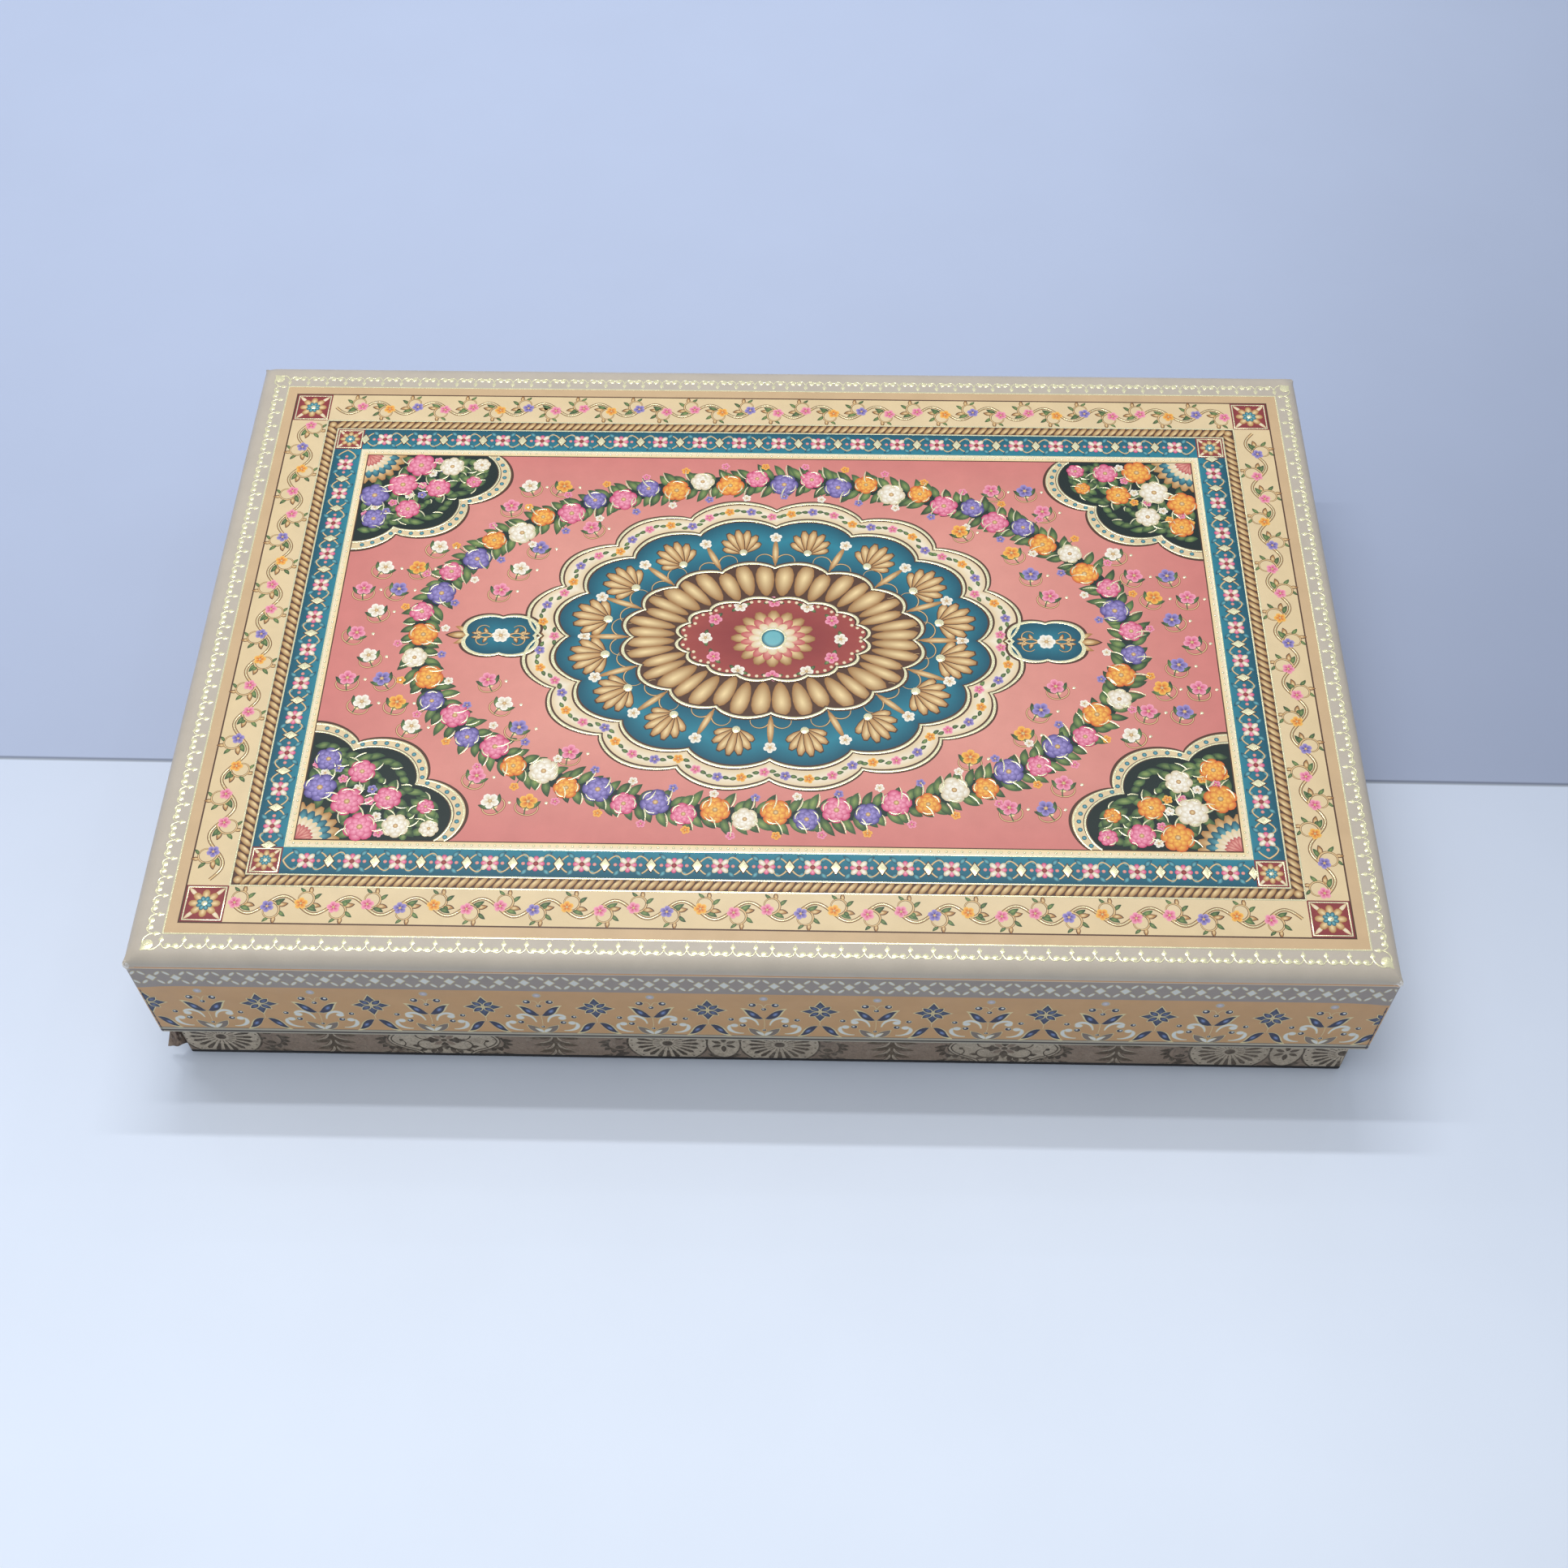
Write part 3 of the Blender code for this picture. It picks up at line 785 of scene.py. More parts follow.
def medallion():
    """Lobed rings round a rosette: cream garland, teal palmettes, gold flutes, maroon heart."""
    unit = Print()

    def rim(wide):
        high = wide - (MEDALLION.real - MEDALLION.imag) * (0.45 + 0.55 * wide / MEDALLION.real)
        return lobed(wide, high, LOBES, LOBE_DEPTH, RIM_STEPS)

    def gold_line(wide, level):
        unit.rows("umber", (rim(wide + 0.7), rim(wide - 1.7)), level - 0.5, (0, 0), (UMBER, UMBER))
        unit.ring("foil", (rim(wide), rim(wide - 0.5), rim(wide - 1)), level)

    gold_line(GARLAND, 3)
    unit.rows("cream", (rim(82.8), rim(79.0), rim(74.6)), 2, (0, 0, 0), (CREAM_EDGE, CREAM, CREAM_EDGE))
    gold_line(PALMETTES, 3)
    unit.rows("teal", (rim(73.2), rim(64.0), rim(FLUTES)), 2, (0, 0, 0), (TEAL_DARK, TEAL, TEAL_DARK * 1.2))
    gold_line(FLUTES, 6)
    unit.rows("umber", (rim(50.0), rim(32.6)), 2, (0, 0), (UMBER, UMBER))
    gold_line(HEART, 7)
    unit.fill("maroon", rim(32.2), 3, tones=(BRICK * 0.9, MAROON), hub=0j)

    kinds = ("pink", "violet", "sun")
    for k, (place, heading) in enumerate(along(rim(78.8), 7.6)):
        unit.stamp(little_flower(kinds[k % 3], 1.8), place, heading)
        for way in (-1, 1):
            ahead = toward(heading) * way
            green_leaf(unit, place + ahead * 1.5, place + ahead * 3.9, 1.4, 3, 0.1)
    for k in range(LOBES):
        spot = (2 * k + 1) * RIM_STEPS // (2 * LOBES)
        foot, tip = rim(53.5)[spot], rim(70.0)[spot]
        unit.stamp(palmette(abs(tip - foot) * 0.74), foot + (tip - foot) * 0.18, np.angle(tip - foot))
        gap = k * RIM_STEPS // LOBES
        foot, tip = rim(52.0)[gap], rim(68.0)[gap]
        lean = np.angle(tip - foot)
        unit.leaf("gold", foot, tip, 2.2, 5)
        unit.stamp(little_flower("cream", 2.2), tip, lean)
        for way in (-1, 1):
            unit.cord(volute(foot, lean, abs(tip - foot) * 1.1, 4.2 * way, 16, 1.3), 0.5, 3)
    for k in range(FLUTE_COUNT):
        spot = (2 * k + 1) * RIM_STEPS // (2 * FLUTE_COUNT)
        foot, tip = rim(33.6)[spot], rim(50.2)[spot]
        width = 0.94 * abs(rim(46.0)[(spot + 4) % RIM_STEPS] - rim(46.0)[(spot - 4) % RIM_STEPS])
        shape = foot + petal(abs(tip - foot), width, np.angle(tip - foot), 14, 0.3)
        unit.fill("gold", shape, 4, tones=FLUTED, hub=foot + 0.6 * (tip - foot))
    for place, _ in along(rim(30.4), 2.6):
        unit.dot("cream", place, 0.62, 5, 8)
    for k in range(12):
        way = toward(2 * math.pi * k / 12)
        place = 22.5 * way.real + 15.8j * way.imag
        unit.stamp(little_flower(("cream", "pink")[k % 2], 2.4), place, k)
        for side in (-1, 1):
            green_leaf(unit, place + 1.5j * side * way, place + (3.6j * side - 0.6) * way, 1.4, 4)
    petals(unit, "gold", 16, 14.2, 5.2, 5, 0.0, HEART_SQUASH, FLUTED)
    petals(unit, "rose", 16, 11.0, 4.0, 6.2, math.pi / 16, HEART_SQUASH)
    petals(unit, "cream", 12, 8.2, 3.9, 7.4, 0.0, HEART_SQUASH)
    unit.ring("foil", [circle(0, radius, 28) for radius in (4.6, 4.2, 3.8)], 10)
    unit.dot("teal", 0, 3.8, 10, 24, dome=0.3)
    return unit


def pendant():
    """A lobed cartouche that points along +x from 0."""
    unit = Print()
    centre = 13.0

    def rim(share):
        return centre + lobed(14.6, 10.0, 4, 0.2, 64) * share

    unit.leaf("gold", -1.5, 4.5, 4.2, 2)
    unit.fill("umber", rim(1.07), 2.5, hub=centre)
    unit.ring("foil", (rim(1.0), rim(0.95), rim(0.9)), 4)
    unit.fill("teal", rim(0.9), 3, tones=DEEP_TEAL, hub=centre)
    unit.stamp(little_flower("cream", 3.1, 6), centre)
    for way in (-1, 1):
        for side in (-1, 1):
            heading = 0.55 * side if way > 0 else math.pi - 0.55 * side
            curl = volute(centre + 2.6 * way, heading, 13.0, -4.8 * side * way, 20, 1.3)
            unit.cord(curl, 0.6, 4)
            leafy_curl(unit, curl, (3, 6, 9), (2.6, 2.4, 2.0), side * way, 4)
        unit.leaf("gold", centre + 11.5, centre + 15.6 + 3.6j * way, 1.9, 3, 0.2 * way)
    unit.leaf("umber", centre + 10.5, centre + 18.6, 3.4, 3)
    unit.leaf("gold", centre + 11.0, centre + 17.8, 2.5, 4)
    return unit


def spandrel(kinds):
    """A quarter medallion whose square corner is at 0: a bouquet of those kinds on dark leaves."""
    unit = Print()
    wide, high = SPANDREL.real, SPANDREL.imag
    angles = np.linspace(0, math.pi / 2, 91)
    scallop = 0.87 + 0.13 * np.abs(np.sin(5 * angles)) ** 0.8
    edge = scallop * (wide * np.cos(angles) + 1j * high * np.sin(angles))
    heart = 0.3 * SPANDREL
    unit.fill("umber", np.append(edge * 1.014, 0), 2, hub=heart)
    unit.fill("cream", np.append(edge * 0.995, 0), 3, hub=heart)
    unit.fill("umber", np.append(edge * 0.928, 0), 3.5, hub=heart)
    unit.fill("green", np.append(edge * 0.905, 0), 4, tones=(LEAF_DARK * 0.8, LEAF_DARK), hub=heart)
    for share in (0.985, 0.917):
        unit.stroke("foil", edge * share, 0.6, 5)
    for spot in range(2, 90, 4):
        unit.dot("teal", edge[spot] * 0.953, 0.8, 4, 9)
    rows = ((20.0, 5.4, (0.24, 0.79, 1.33)), (31.0, 4.5, (0.17, 0.53, 0.98, 1.38)))
    blooms = [(reach * toward(lean), size) for reach, size, leans in rows for lean in leans]
    blooms += [(41.0 + 4.4j, 3.2), (39.0 + 12.6j, 2.8)]
    for k in range(3, 84, 5):
        for share, ahead in ((0.84, 6), (0.7, 0)):
            ends = edge[k] * share, edge[k + ahead] * (share - 0.05)
            green_leaf(unit, *ends[::1 if k % 2 else -1], 2.6, 4.5 + 0.04 * k, 0.12, k % 3 == 0)
    for k, (spot, size) in enumerate(blooms):
        for leaf in range(7):
            way = toward(0.9 * leaf + k)
            tip = spot + (size + 2.8) * way
            if min(tip.real, tip.imag) > 0.6 and abs(tip.real / wide + 1j * tip.imag / high) < 0.84:
                root = spot + 0.4 * size * way
                green_leaf(unit, root, tip, 3.0, 5 + 0.4 * (leaf % 3), 0.1, leaf % 2 == 0)
    for k, (spot, size) in enumerate(blooms):
        bloom = blossom(kinds[k % len(kinds)], size, 3 if size > 4 else 2, 7)
        unit.stamp(bloom, spot, k, lift=4 + 0.4 * k)
        glints(unit, spot, size, (0.6 + k, 3.4 + k), 16)
    for k in range(12):
        spot = (25.6 + 3 * (k % 2)) * toward(0.1 + 0.125 * k)
        unit.stamp(little_flower(kinds[(k + 1) % len(kinds)], 1.7), spot, k, lift=3)
    fans = (("gold", 14.0), ("teal", 11.4), ("cream", 8.6), ("rose", 5.6))
    for ring, (kind, reach) in enumerate(fans):
        for k in range(7 - ring % 2):
            turn = math.pi / 12 * (k + 0.5 * (ring % 2))
            shape = petal(reach, reach * 0.3, turn, 12)
            shape = np.maximum(shape.real, 0) + 1j * np.maximum(shape.imag, 0)
            hub = 0.6 * reach * toward(np.clip(turn, 0.06, 1.5))
            unit.fill(kind, shape, 6 + 1.1 * ring + 0.3 * (k % 2), hub=hub)
    return unit


def wreath():
    """Leaves and blossoms along an ellipse, with foil glints."""
    unit = Print()
    line = lobed(WREATH.real, WREATH.imag, 2, 0.0, 400)
    spots = along(line, WREATH_LEAVES)
    ribbon = np.array([place for place, _ in spots])
    unit.stroke("green", ribbon, 6.0, 1.5, tones=(LEAF_DARK, LEAF_DARK * 1.4), closed=True)
    for k, (place, heading) in enumerate(spots):
        for side in (-1, 1):
            way = toward(heading + side * (0.75 + 0.5 * random.random()))
            tip = place + (6.8 + 2.4 * random.random()) * way
            green_leaf(unit, place + 1.2 * way, tip, 2.9, 2 + 0.25 * (k % 3), 0.08 * side, k % 2 == 0)
        if k % 2:
            bud = place + (6.8 + 1.6 * random.random()) * toward(heading + (k % 4 - 2) * math.pi / 2)
            unit.stroke("green", curve(place, bud, steps=3), 0.35, 2, tones=LEAF_GREEN)
            unit.stamp(little_flower(("pink", "violet", "sun", "cream")[k // 2 % 4], 1.6), bud, k)
    kinds = ("pink", "violet", "pink", "sun", "cream", "sun", "violet")
    for k, (place, heading) in enumerate(along(line, WREATH_BLOOMS)):
        kind = kinds[k % len(kinds)]
        at = place + (1.4 if k % 2 else -1.4) * 1j * toward(heading)
        radius = (4.3, 5.0)[k % 2]
        unit.stamp(blossom(kind, radius, 3, 7 if kind == "pink" else 6), at, random.random() * 6)
        glints(unit, at, radius, (heading + 0.4, heading + 2.6, heading + 4.4), 11)
    return unit


def field_sprays(half, keep_off):
    """Small sprays on a staggered grid, with gold tendrils at each, wherever there is room."""
    unit = Print()
    rows, columns = math.ceil(half.imag / SPRAY_UP), math.ceil(half.real / SPRAY_ACROSS)
    for row in range(-rows, rows + 1):
        for column in range(-columns, columns + 1):
            place = complex((column + 0.5 * (row % 2)) * SPRAY_ACROSS, row * SPRAY_UP)
            room = half - complex(abs(place.real), abs(place.imag))
            if keep_off(place) or min(room.real, room.imag) < EDGE_ROOM:
                continue
            kind = ("pink", "violet", "cream", "sun")[(column + 2 * row) % 4]
            turn = 0.6 * math.sin(1.7 * column + 2.3 * row) + math.pi / 2
            way = toward(turn)
            for side in (-1, 1):
                curl = volute(place - 4.6 * way, turn + 1.5 * side, 13.0, -5.4 * side, 18, 1.3)
                unit.stroke("umber", curl, np.linspace(0.75, 0.4, 19), 1.6, tones=MAROON)
                unit.stroke("gold", curl, np.linspace(0.45, 0.25, 19), 2)
                unit.dot("gold", curl[-1], 0.6, 2.6, 8, tones=STRAW)
                tip = place + way * (4.4 * toward(1.1 * side) - 0.6)
                green_leaf(unit, place - 2.0 * way, tip, 2.1, 3, 0.08 * side)
            stalk = curve(place - 4.6 * way, place - 2.4 * way + 0.5j * way, place, steps=5)
            unit.stroke("green", stalk, 0.4, 3, LEAF_GREEN)
            unit.stamp(little_flower(kind, 3.0), place + 0.6 * way, turn)
            unit.dot("foil", place + SPRAY_ACROSS / 2, 0.55, 9, 8, dome=EMBOSS)
    return unit


def outside(place, oval):
    """How far outside an oval a place lies, along the ray from its middle."""
    return abs(place) * (1 - 1 / max(abs(place.real / oval.real + 1j * place.imag / oval.imag), 1e-6))


def picture():
    """The whole layout, from its outer border to its heart."""
    sheet = Print()
    sheet.fill("cream", corners(ART), 2)
    sheet.frame("umber", ART, 0.0, GOLD_LINE, 3)
    sheet.frame("umber", ART, VINE_END, ROPE_END, 3)
    for inset in (VINE_END, ROPE_END, TEAL_END):
        sheet.frame("foil", ART, inset, inset + GOLD_LINE, 5)
    sheet.frame("teal", ART, ROPE_END, TEAL_END, 3, DEEP_TEAL)
    sheet.frame("cream", ART, TEAL_END, FIELD_EDGE - DARK_LINE, 4, (CREAM, STRAW))
    sheet.frame("umber", ART, FIELD_EDGE - DARK_LINE, FIELD_EDGE, 4)
    field = ART - (1 + 1j) * FIELD_EDGE
    sheet.fill("rose", corners(field), 3, tones=(CORAL * 0.92, SALMON))
    sheet.around(ART, (VINE_END + GOLD_LINE) / 2, VINE_END + 2.2, VINE_PITCH, vine_unit)
    sheet.at_corners(ART, GOLD_LINE, corner_block(VINE_END - 0.3))
    strand, knot, bead = Print(), Print(), Print()
    strand.fill("gold", circle(0, 2.55, 12, 0.36, 0.82), 5, FLUTED, -0.3 + 0.4j)
    knot.dot("gold", 0, 1.4, 6, 14, FLUTED)
    bead.dot("foil", 0, 0.45, 9, 8, dome=2 * EMBOSS)
    rope = (VINE_END + ROPE_END + GOLD_LINE) / 2
    sheet.around(ART, rope, (VINE_END + ROPE_END) / 2 + 1.6, ROPE_PITCH, strand)
    sheet.at_corners(ART, rope, knot)
    lattice = (ROPE_END + TEAL_END + GOLD_LINE) / 2
    sheet.around(ART, lattice, TEAL_END + 0.6, LATTICE_PITCH, lambda width, number: lattice_unit(width))
    sheet.at_corners(ART, ROPE_END + GOLD_LINE, corner_block(TEAL_END - ROPE_END - GOLD_LINE))
    sheet.around(ART, TEAL_END + 1.55, TEAL_END + 1.6, BEAD_PITCH, bead)
    for corner, turn, flip in zip(corners(field), (0.0, math.pi, math.pi, 0.0), (False, True, False, True)):
        kinds = ("pink", "pink", "violet", "cream") if corner.real < 0 else ("sun", "cream", "sun", "pink")
        sheet.stamp(spandrel(kinds), corner, turn, flip, 3)

    def keep_off(place):
        from_corner = field - complex(abs(place.real), abs(place.imag))
        at_spandrel = outside(from_corner, SPANDREL) < SPANDREL_ROOM
        at_medallion = outside(place, MEDALLION) < MEDALLION_ROOM
        at_wreath = abs(outside(place, WREATH)) < WREATH_ROOM
        at_pendant = abs(place.imag) < PENDANT_ROOM and abs(place.real) < WREATH.real
        return at_spandrel or at_medallion or at_wreath or at_pendant

    sheet.stamp(field_sprays(field, keep_off), lift=2)
    sheet.stamp(wreath(), lift=2)
    sheet.stamp(medallion(), lift=2)
    for turn in (0.0, math.pi):
        sheet.stamp(pendant(), PENDANT_START * toward(turn), turn, lift=2)
    return sheet


# Materials

class Material:
    """A node material under construction, with the few node patterns used here."""

    def __init__(self, name):
        self.material = bpy.data.materials.new(name)
        self.material.use_nodes = True
        self.tree = self.material.node_tree
        self.shader = self.tree.nodes["Principled BSDF"]
        self.place = self.node("ShaderNodeTexCoord").outputs["Object"]

    def node(self, kind, **settings):
        node = self.tree.nodes.new(kind)
        for key, value in settings.items():
            setattr(node, key, value)
        return node

    def feed(self, socket, value):
        if isinstance(value, bpy.types.NodeSocket):
            self.tree.links.new(value, socket)
        elif socket.type == "RGBA":
            socket.default_value = (*value, 1.0)
        else:
            socket.default_value = value

    def noise(self, size_mm, detail=3.0, roughness=0.55, distortion=0.0):
        """Smooth noise from 0 to 1 whose lumps are about size_mm across."""
        node = self.node("ShaderNodeTexNoise")
        self.feed(node.inputs["Vector"], self.place)
        node.inputs["Scale"].default_value = 1 / (size_mm * MM)
        node.inputs["Detail"].default_value = detail
        node.inputs["Roughness"].default_value = roughness
        node.inputs["Distortion"].default_value = distortion
        return node.outputs["Fac"]

    def ramp(self, value, low, high, start=0.0, end=1.0):
        """Maps value from low..high to start..end, and holds it there."""
        node = self.node("ShaderNodeMapRange")
        self.feed(node.inputs["Value"], value)
        for key, number in (("From Min", low), ("From Max", high), ("To Min", start), ("To Max", end)):
            node.inputs[key].default_value = number
        return node.outputs["Result"]

    def uneven(self, low, high, *noise):
        """A number that varies over the surface, nearly all of it between low and high."""
        return self.ramp(self.noise(*noise), 0.3, 0.7, low, high)

    def maths(self, operation, first, second=0.0):
        node = self.node("ShaderNodeMath", operation=operation)
        self.feed(node.inputs[0], first)
        self.feed(node.inputs[1], second)
        return node.outputs[0]

    def mix(self, share, first, second, blend="MIX"):
        node = self.node("ShaderNodeMix", data_type="RGBA", blend_type=blend)
        self.feed(node.inputs["Factor"], share)
        self.feed(node.inputs[6], first)
        self.feed(node.inputs[7], second)
        return node.outputs[2]

    def scaled(self, colour, factor):
        """colour times a number that varies over the surface."""
        node = self.node("ShaderNodeCombineColor")
        for channel in range(3):
            self.feed(node.inputs[channel], factor)
        return self.mix(1.0, colour, node.outputs[0], "MULTIPLY")

    def attribute(self, name, output="Color"):
        return self.node("ShaderNodeAttribute", attribute_name=name).outputs[output]

    def bump(self, *layers):
        """Bumps in a row, each (height, depth in mm)."""
        normal = None
        for height, depth in layers:
            node = self.node("ShaderNodeBump")
            node.inputs["Strength"].default_value = 1.0
            node.inputs["Distance"].default_value = depth * MM
            self.feed(node.inputs["Height"], height)
            if normal is not None:
                self.feed(node.inputs["Normal"], normal)
            normal = node.outputs["Normal"]
        self.feed(self.shader.inputs["Normal"], normal)

    def finish(self, colour, roughness, metallic=0.0, coat=0.0, sheen=0.0):
        self.feed(self.shader.inputs["Base Color"], colour)
        self.feed(self.shader.inputs["Roughness"], roughness)
        self.shader.inputs["Metallic"].default_value = metallic
        self.shader.inputs["Specular IOR Level"].default_value = 0.35
        self.shader.inputs["Coat Weight"].default_value = coat
        self.shader.inputs["Coat Roughness"].default_value = 0.3
        self.shader.inputs["Sheen Weight"].default_value = sheen
        return self.material


PAPER_WHITE = srgb(240, 236, 230)


def printed_paper(name, colour=None, shine=0.42, worn=False):
    """Coated paper printed in one colour, or in the colours that its vertices carry."""
    made = Material(name)
    if colour is None:
        ink = made.attribute("ink")
    else:
        ink = made.mix(made.noise(30.0), colour * 0.97, colour * 1.03)
    cloudy = made.uneven(0.96, 1.04, 9.0, 4.0)
    grain = made.uneven(0.975, 1.025, 0.25, 2.0)
    shaded = made.scaled(ink, made.maths("MULTIPLY", cloudy, grain))
    rough = made.uneven(shine - 0.05, shine + 0.06, 6.0, 4.0)
    if worn:
        rubbed = made.maths("ADD", made.noise(0.9, 4.0, 0.7), made.attribute("wear", "Fac"))
        scuff = made.ramp(rubbed, 0.86, 1.0)
        shaded = made.mix(scuff, shaded, PAPER_WHITE)
        rough = made.maths("ADD", rough, made.ramp(scuff, 0.0, 1.0, 0.0, 0.25))
    made.bump((made.noise(38.0, 1.0), 0.3), (made.noise(3.2, 2.0), 0.01), (made.noise(0.35, 2.0), 0.0022))
    return made.finish(shaded, rough, coat=0.06)


def foil(name):
    """Hot-stamped gold foil: pressed in unevenly, so that it glints in patches."""
    made = Material(name)
    tone = made.mix(made.noise(14.0, 2.0), FOIL * 0.9, FOIL * 1.08)
    tone = made.scaled(tone, made.uneven(0.92, 1.05, 0.5, 2.0))
    rough = made.uneven(0.17, 0.33, 2.0, 3.0)
    made.bump((made.noise(38.0, 1.0), 0.3), (made.noise(4.0, 3.0), 0.04), (made.noise(0.7, 2.0), 0.006))
    return made.finish(tone, rough, metallic=0.5)


def plain_paper(name, colour, fibre=0.06):
    """Uncoated paper with fibres, flecks and a faint lean of tone over the sheet."""
    made = Material(name)
    tone = made.mix(made.noise(45.0), colour * 0.95, colour * 1.02)
    fibres = made.uneven(1 - fibre, 1 + fibre, 0.6, 5.0, 0.7, 1.5)
    shaded = made.scaled(tone, fibres)
    flecks = made.ramp(made.noise(0.8, 1.0), 0.74, 0.78, 0.0, 0.35)
    shaded = made.mix(flecks, shaded, colour * 0.6)
    roughness = made.uneven(0.74, 0.88, 3.0, 3.0)
    made.bump((made.noise(30.0, 1.0), 0.3), (made.noise(0.6, 4.0, 0.7, 1.5), 0.012))
    return made.finish(shaded, roughness, sheen=0.05)


def aged_shaded_tile_paper(name, use_ink):
    """The tray's print: tiles with a worn, brownish patina and painted shade, under or over the inks."""
    made = Material(name)
    # The worn paper's tones, darkened as painted shade for the shadow under the lid's overhang
    pale, dull, brown = srgb(166, 152, 132), srgb(122, 104, 86), srgb(78, 62, 44)
    ground = made.mix(made.ramp(made.noise(4.6, 6.0, 0.75, 1.0), 0.42, 0.58), pale, dull)
    stain = made.ramp(made.noise(3.6, 6.0, 0.75, 1.4), 0.48, 0.66, 0.0, 0.85)
    ground = made.mix(stain, ground, brown)
    if use_ink:
        wear = made.ramp(made.noise(2.2, 6.0, 0.75, 1.2), 0.45, 0.65, 0.04, 0.66)
        faded = made.ramp(made.noise(58.0, 3.0, 0.6), 0.5, 0.6, 0.0, 0.4)
        ground = made.mix(made.maths("MAXIMUM", wear, faded), made.attribute("ink"), ground)
    speck = made.uneven(0.78, 1.18, 0.45, 3.0, 0.7)
    curl = made.ramp(made.noise(2.6, 2.0, 0.6, 2.6), 0.35, 0.65, 0.88, 1.1)
    shaded = made.scaled(ground, made.maths("MULTIPLY", speck, curl))
    rough = made.uneven(0.45, 0.6, 5.0, 4.0)
    made.bump((made.noise(34.0, 1.0), 0.3), (made.noise(0.4, 3.0), 0.006))
    return made.finish(shaded, rough, coat=0.05)


def board_material(name, colour):
    """Greyboard: pulped fibre with dark and light flecks."""
    made = Material(name)
    tone = made.mix(made.noise(12.0, 4.0), colour * 0.85, colour * 1.1)
    flecks = made.ramp(made.noise(0.7, 3.0, 0.7), 0.6, 0.75, 0.0, 0.5)
    tone = made.mix(flecks, tone, colour * 0.45)
    rough = made.uneven(0.82, 0.95, 2.0, 3.0)
    made.bump((made.noise(0.8, 4.0, 0.7), 0.03))
    return made.finish(tone, rough)


def foam_material(name, colour):
    """Open-cell foam: fine pits with painted shade in them, matte."""
    made = Material(name)
    cells = made.node("ShaderNodeTexVoronoi")
    made.feed(cells.inputs["Vector"], made.place)
    cells.inputs["Scale"].default_value = 1 / (0.7 * MM)
    pits = made.ramp(cells.outputs["Distance"], 0.1, 0.5, 0.0, 1.0)
    # Painted shade: darker in the pits that the bump presses in
    tone = made.mix(pits, colour * 0.7, colour)
    rough = made.uneven(0.88, 0.98, 3.0, 3.0)
    made.bump((pits, 0.12))
    return made.finish(tone, rough, sheen=0.2)


def put(name, data):
    """A new object in the scene."""
    thing = bpy.data.objects.new(name, data)
    bpy.context.scene.collection.objects.link(thing)
    return thing


# Covers: folded sheets of paper

def lines(half, count):
    """Grid lines from -half to half, closer together at the edges."""
    edge = np.array(EDGE_LINES)
    middle = np.linspace(edge[-1] - half, half - edge[-1], count)[1:-1]
    return np.concatenate((edge - half, middle, (half - edge)[::-1]))


def grid(half):
    """All crossings of the grid lines in rows, and how many there are to a row."""
    xs, ys = (lines(size, count) for size, count in zip(half, MIDDLE_LINES))
    return np.array([(x, y) for y in ys for x in xs]), len(xs)


def rounded(points, half, radius):
    """Moves points near the four corners so that the outline turns them in an arc."""
    depth = half - np.abs(points)
    near = np.clip(1 - depth / radius, 0, 1)
    curved = near * np.sqrt(1 - near[:, ::-1] ** 2 / 2)
    return np.sign(points) * (half - depth + radius * (curved - near))


def wobble(points):
    """A smooth hand-made stray along the edges, from -1 to 1."""
    x, y = points.T
    return (np.sin(x / 17) + np.sin(x / 7.3) + np.sin(y / 13)) / 3


def loop(half, inset, radius):
    """One turn round a cover, counter-clockwise from its front left corner."""
    wide, deep = reach = half - inset
    xs, ys = (lines(size, count) for size, count in zip(reach, MIDDLE_LINES))
    front = [(x, -deep) for x in xs]
    right = [(wide, y) for y in ys[1:]]
    back = [(x, deep) for x in xs[::-1][1:]]
    left = [(-wide, y) for y in ys[::-1][1:-1]]
    return rounded(np.array(front + right + back + left), reach, radius)


def to_corner(points, half):
    """Distance from each point to the nearest corner of the outline."""
    return np.hypot(*(half - np.abs(points)).T)


def corner_tip(points, half, drop):
    """The fold edge's corners, drawn out to a point."""
    reach = TIP_REACH * np.exp(-((to_corner(points, half) / 1.3) ** 2))
    fade = max(0.0, 1 - drop / TIP_FADE) ** 2
    return points + np.sign(points) * (reach * fade / math.sqrt(2))[:, None]


def pillow(points, half, reach):
    """A softly rounded height from 0 at the edge of half to 1 from reach inwards."""
    a, b = np.clip((half - np.abs(points)) / reach, 0, 1).T
    inside = a * b / np.maximum(a + b - a * b, 1e-9)
    return np.sqrt(1 - (1 - inside) ** 2)


def lid_height(points):
    """The padded top's height, with its creases."""
    return FOLD_EDGE + PAD_RISE * pillow(points, LID_HALF, PAD_ROUND) + corner_creases(points)


def corner_creases(points):
    """Small puckers in the paper where it is gathered round the lid's corners."""
    distance = to_corner(points, LID_HALF)
    depth = LID_HALF - np.abs(points)
    angle = np.arctan2(depth[:, 1], depth[:, 0])
    turn = np.sign(points[:, 0]) * 0.35 + np.sign(points[:, 1]) * 0.2
    puckers = np.cos(8 * angle + 6 * turn) - 0.5 * np.cos(4 * angle + 3 * turn)
    reach = np.clip(distance / 0.9, 0, 1) * np.exp(-((distance / CREASE_REACH) ** 2))
    return CREASE_DEPTH * puckers * reach


def vertex_places(mesh):
    spots = np.empty(len(mesh.vertices) * 3)
    mesh.vertices.foreach_get("co", spots)
    return spots.reshape(-1, 3) / MM


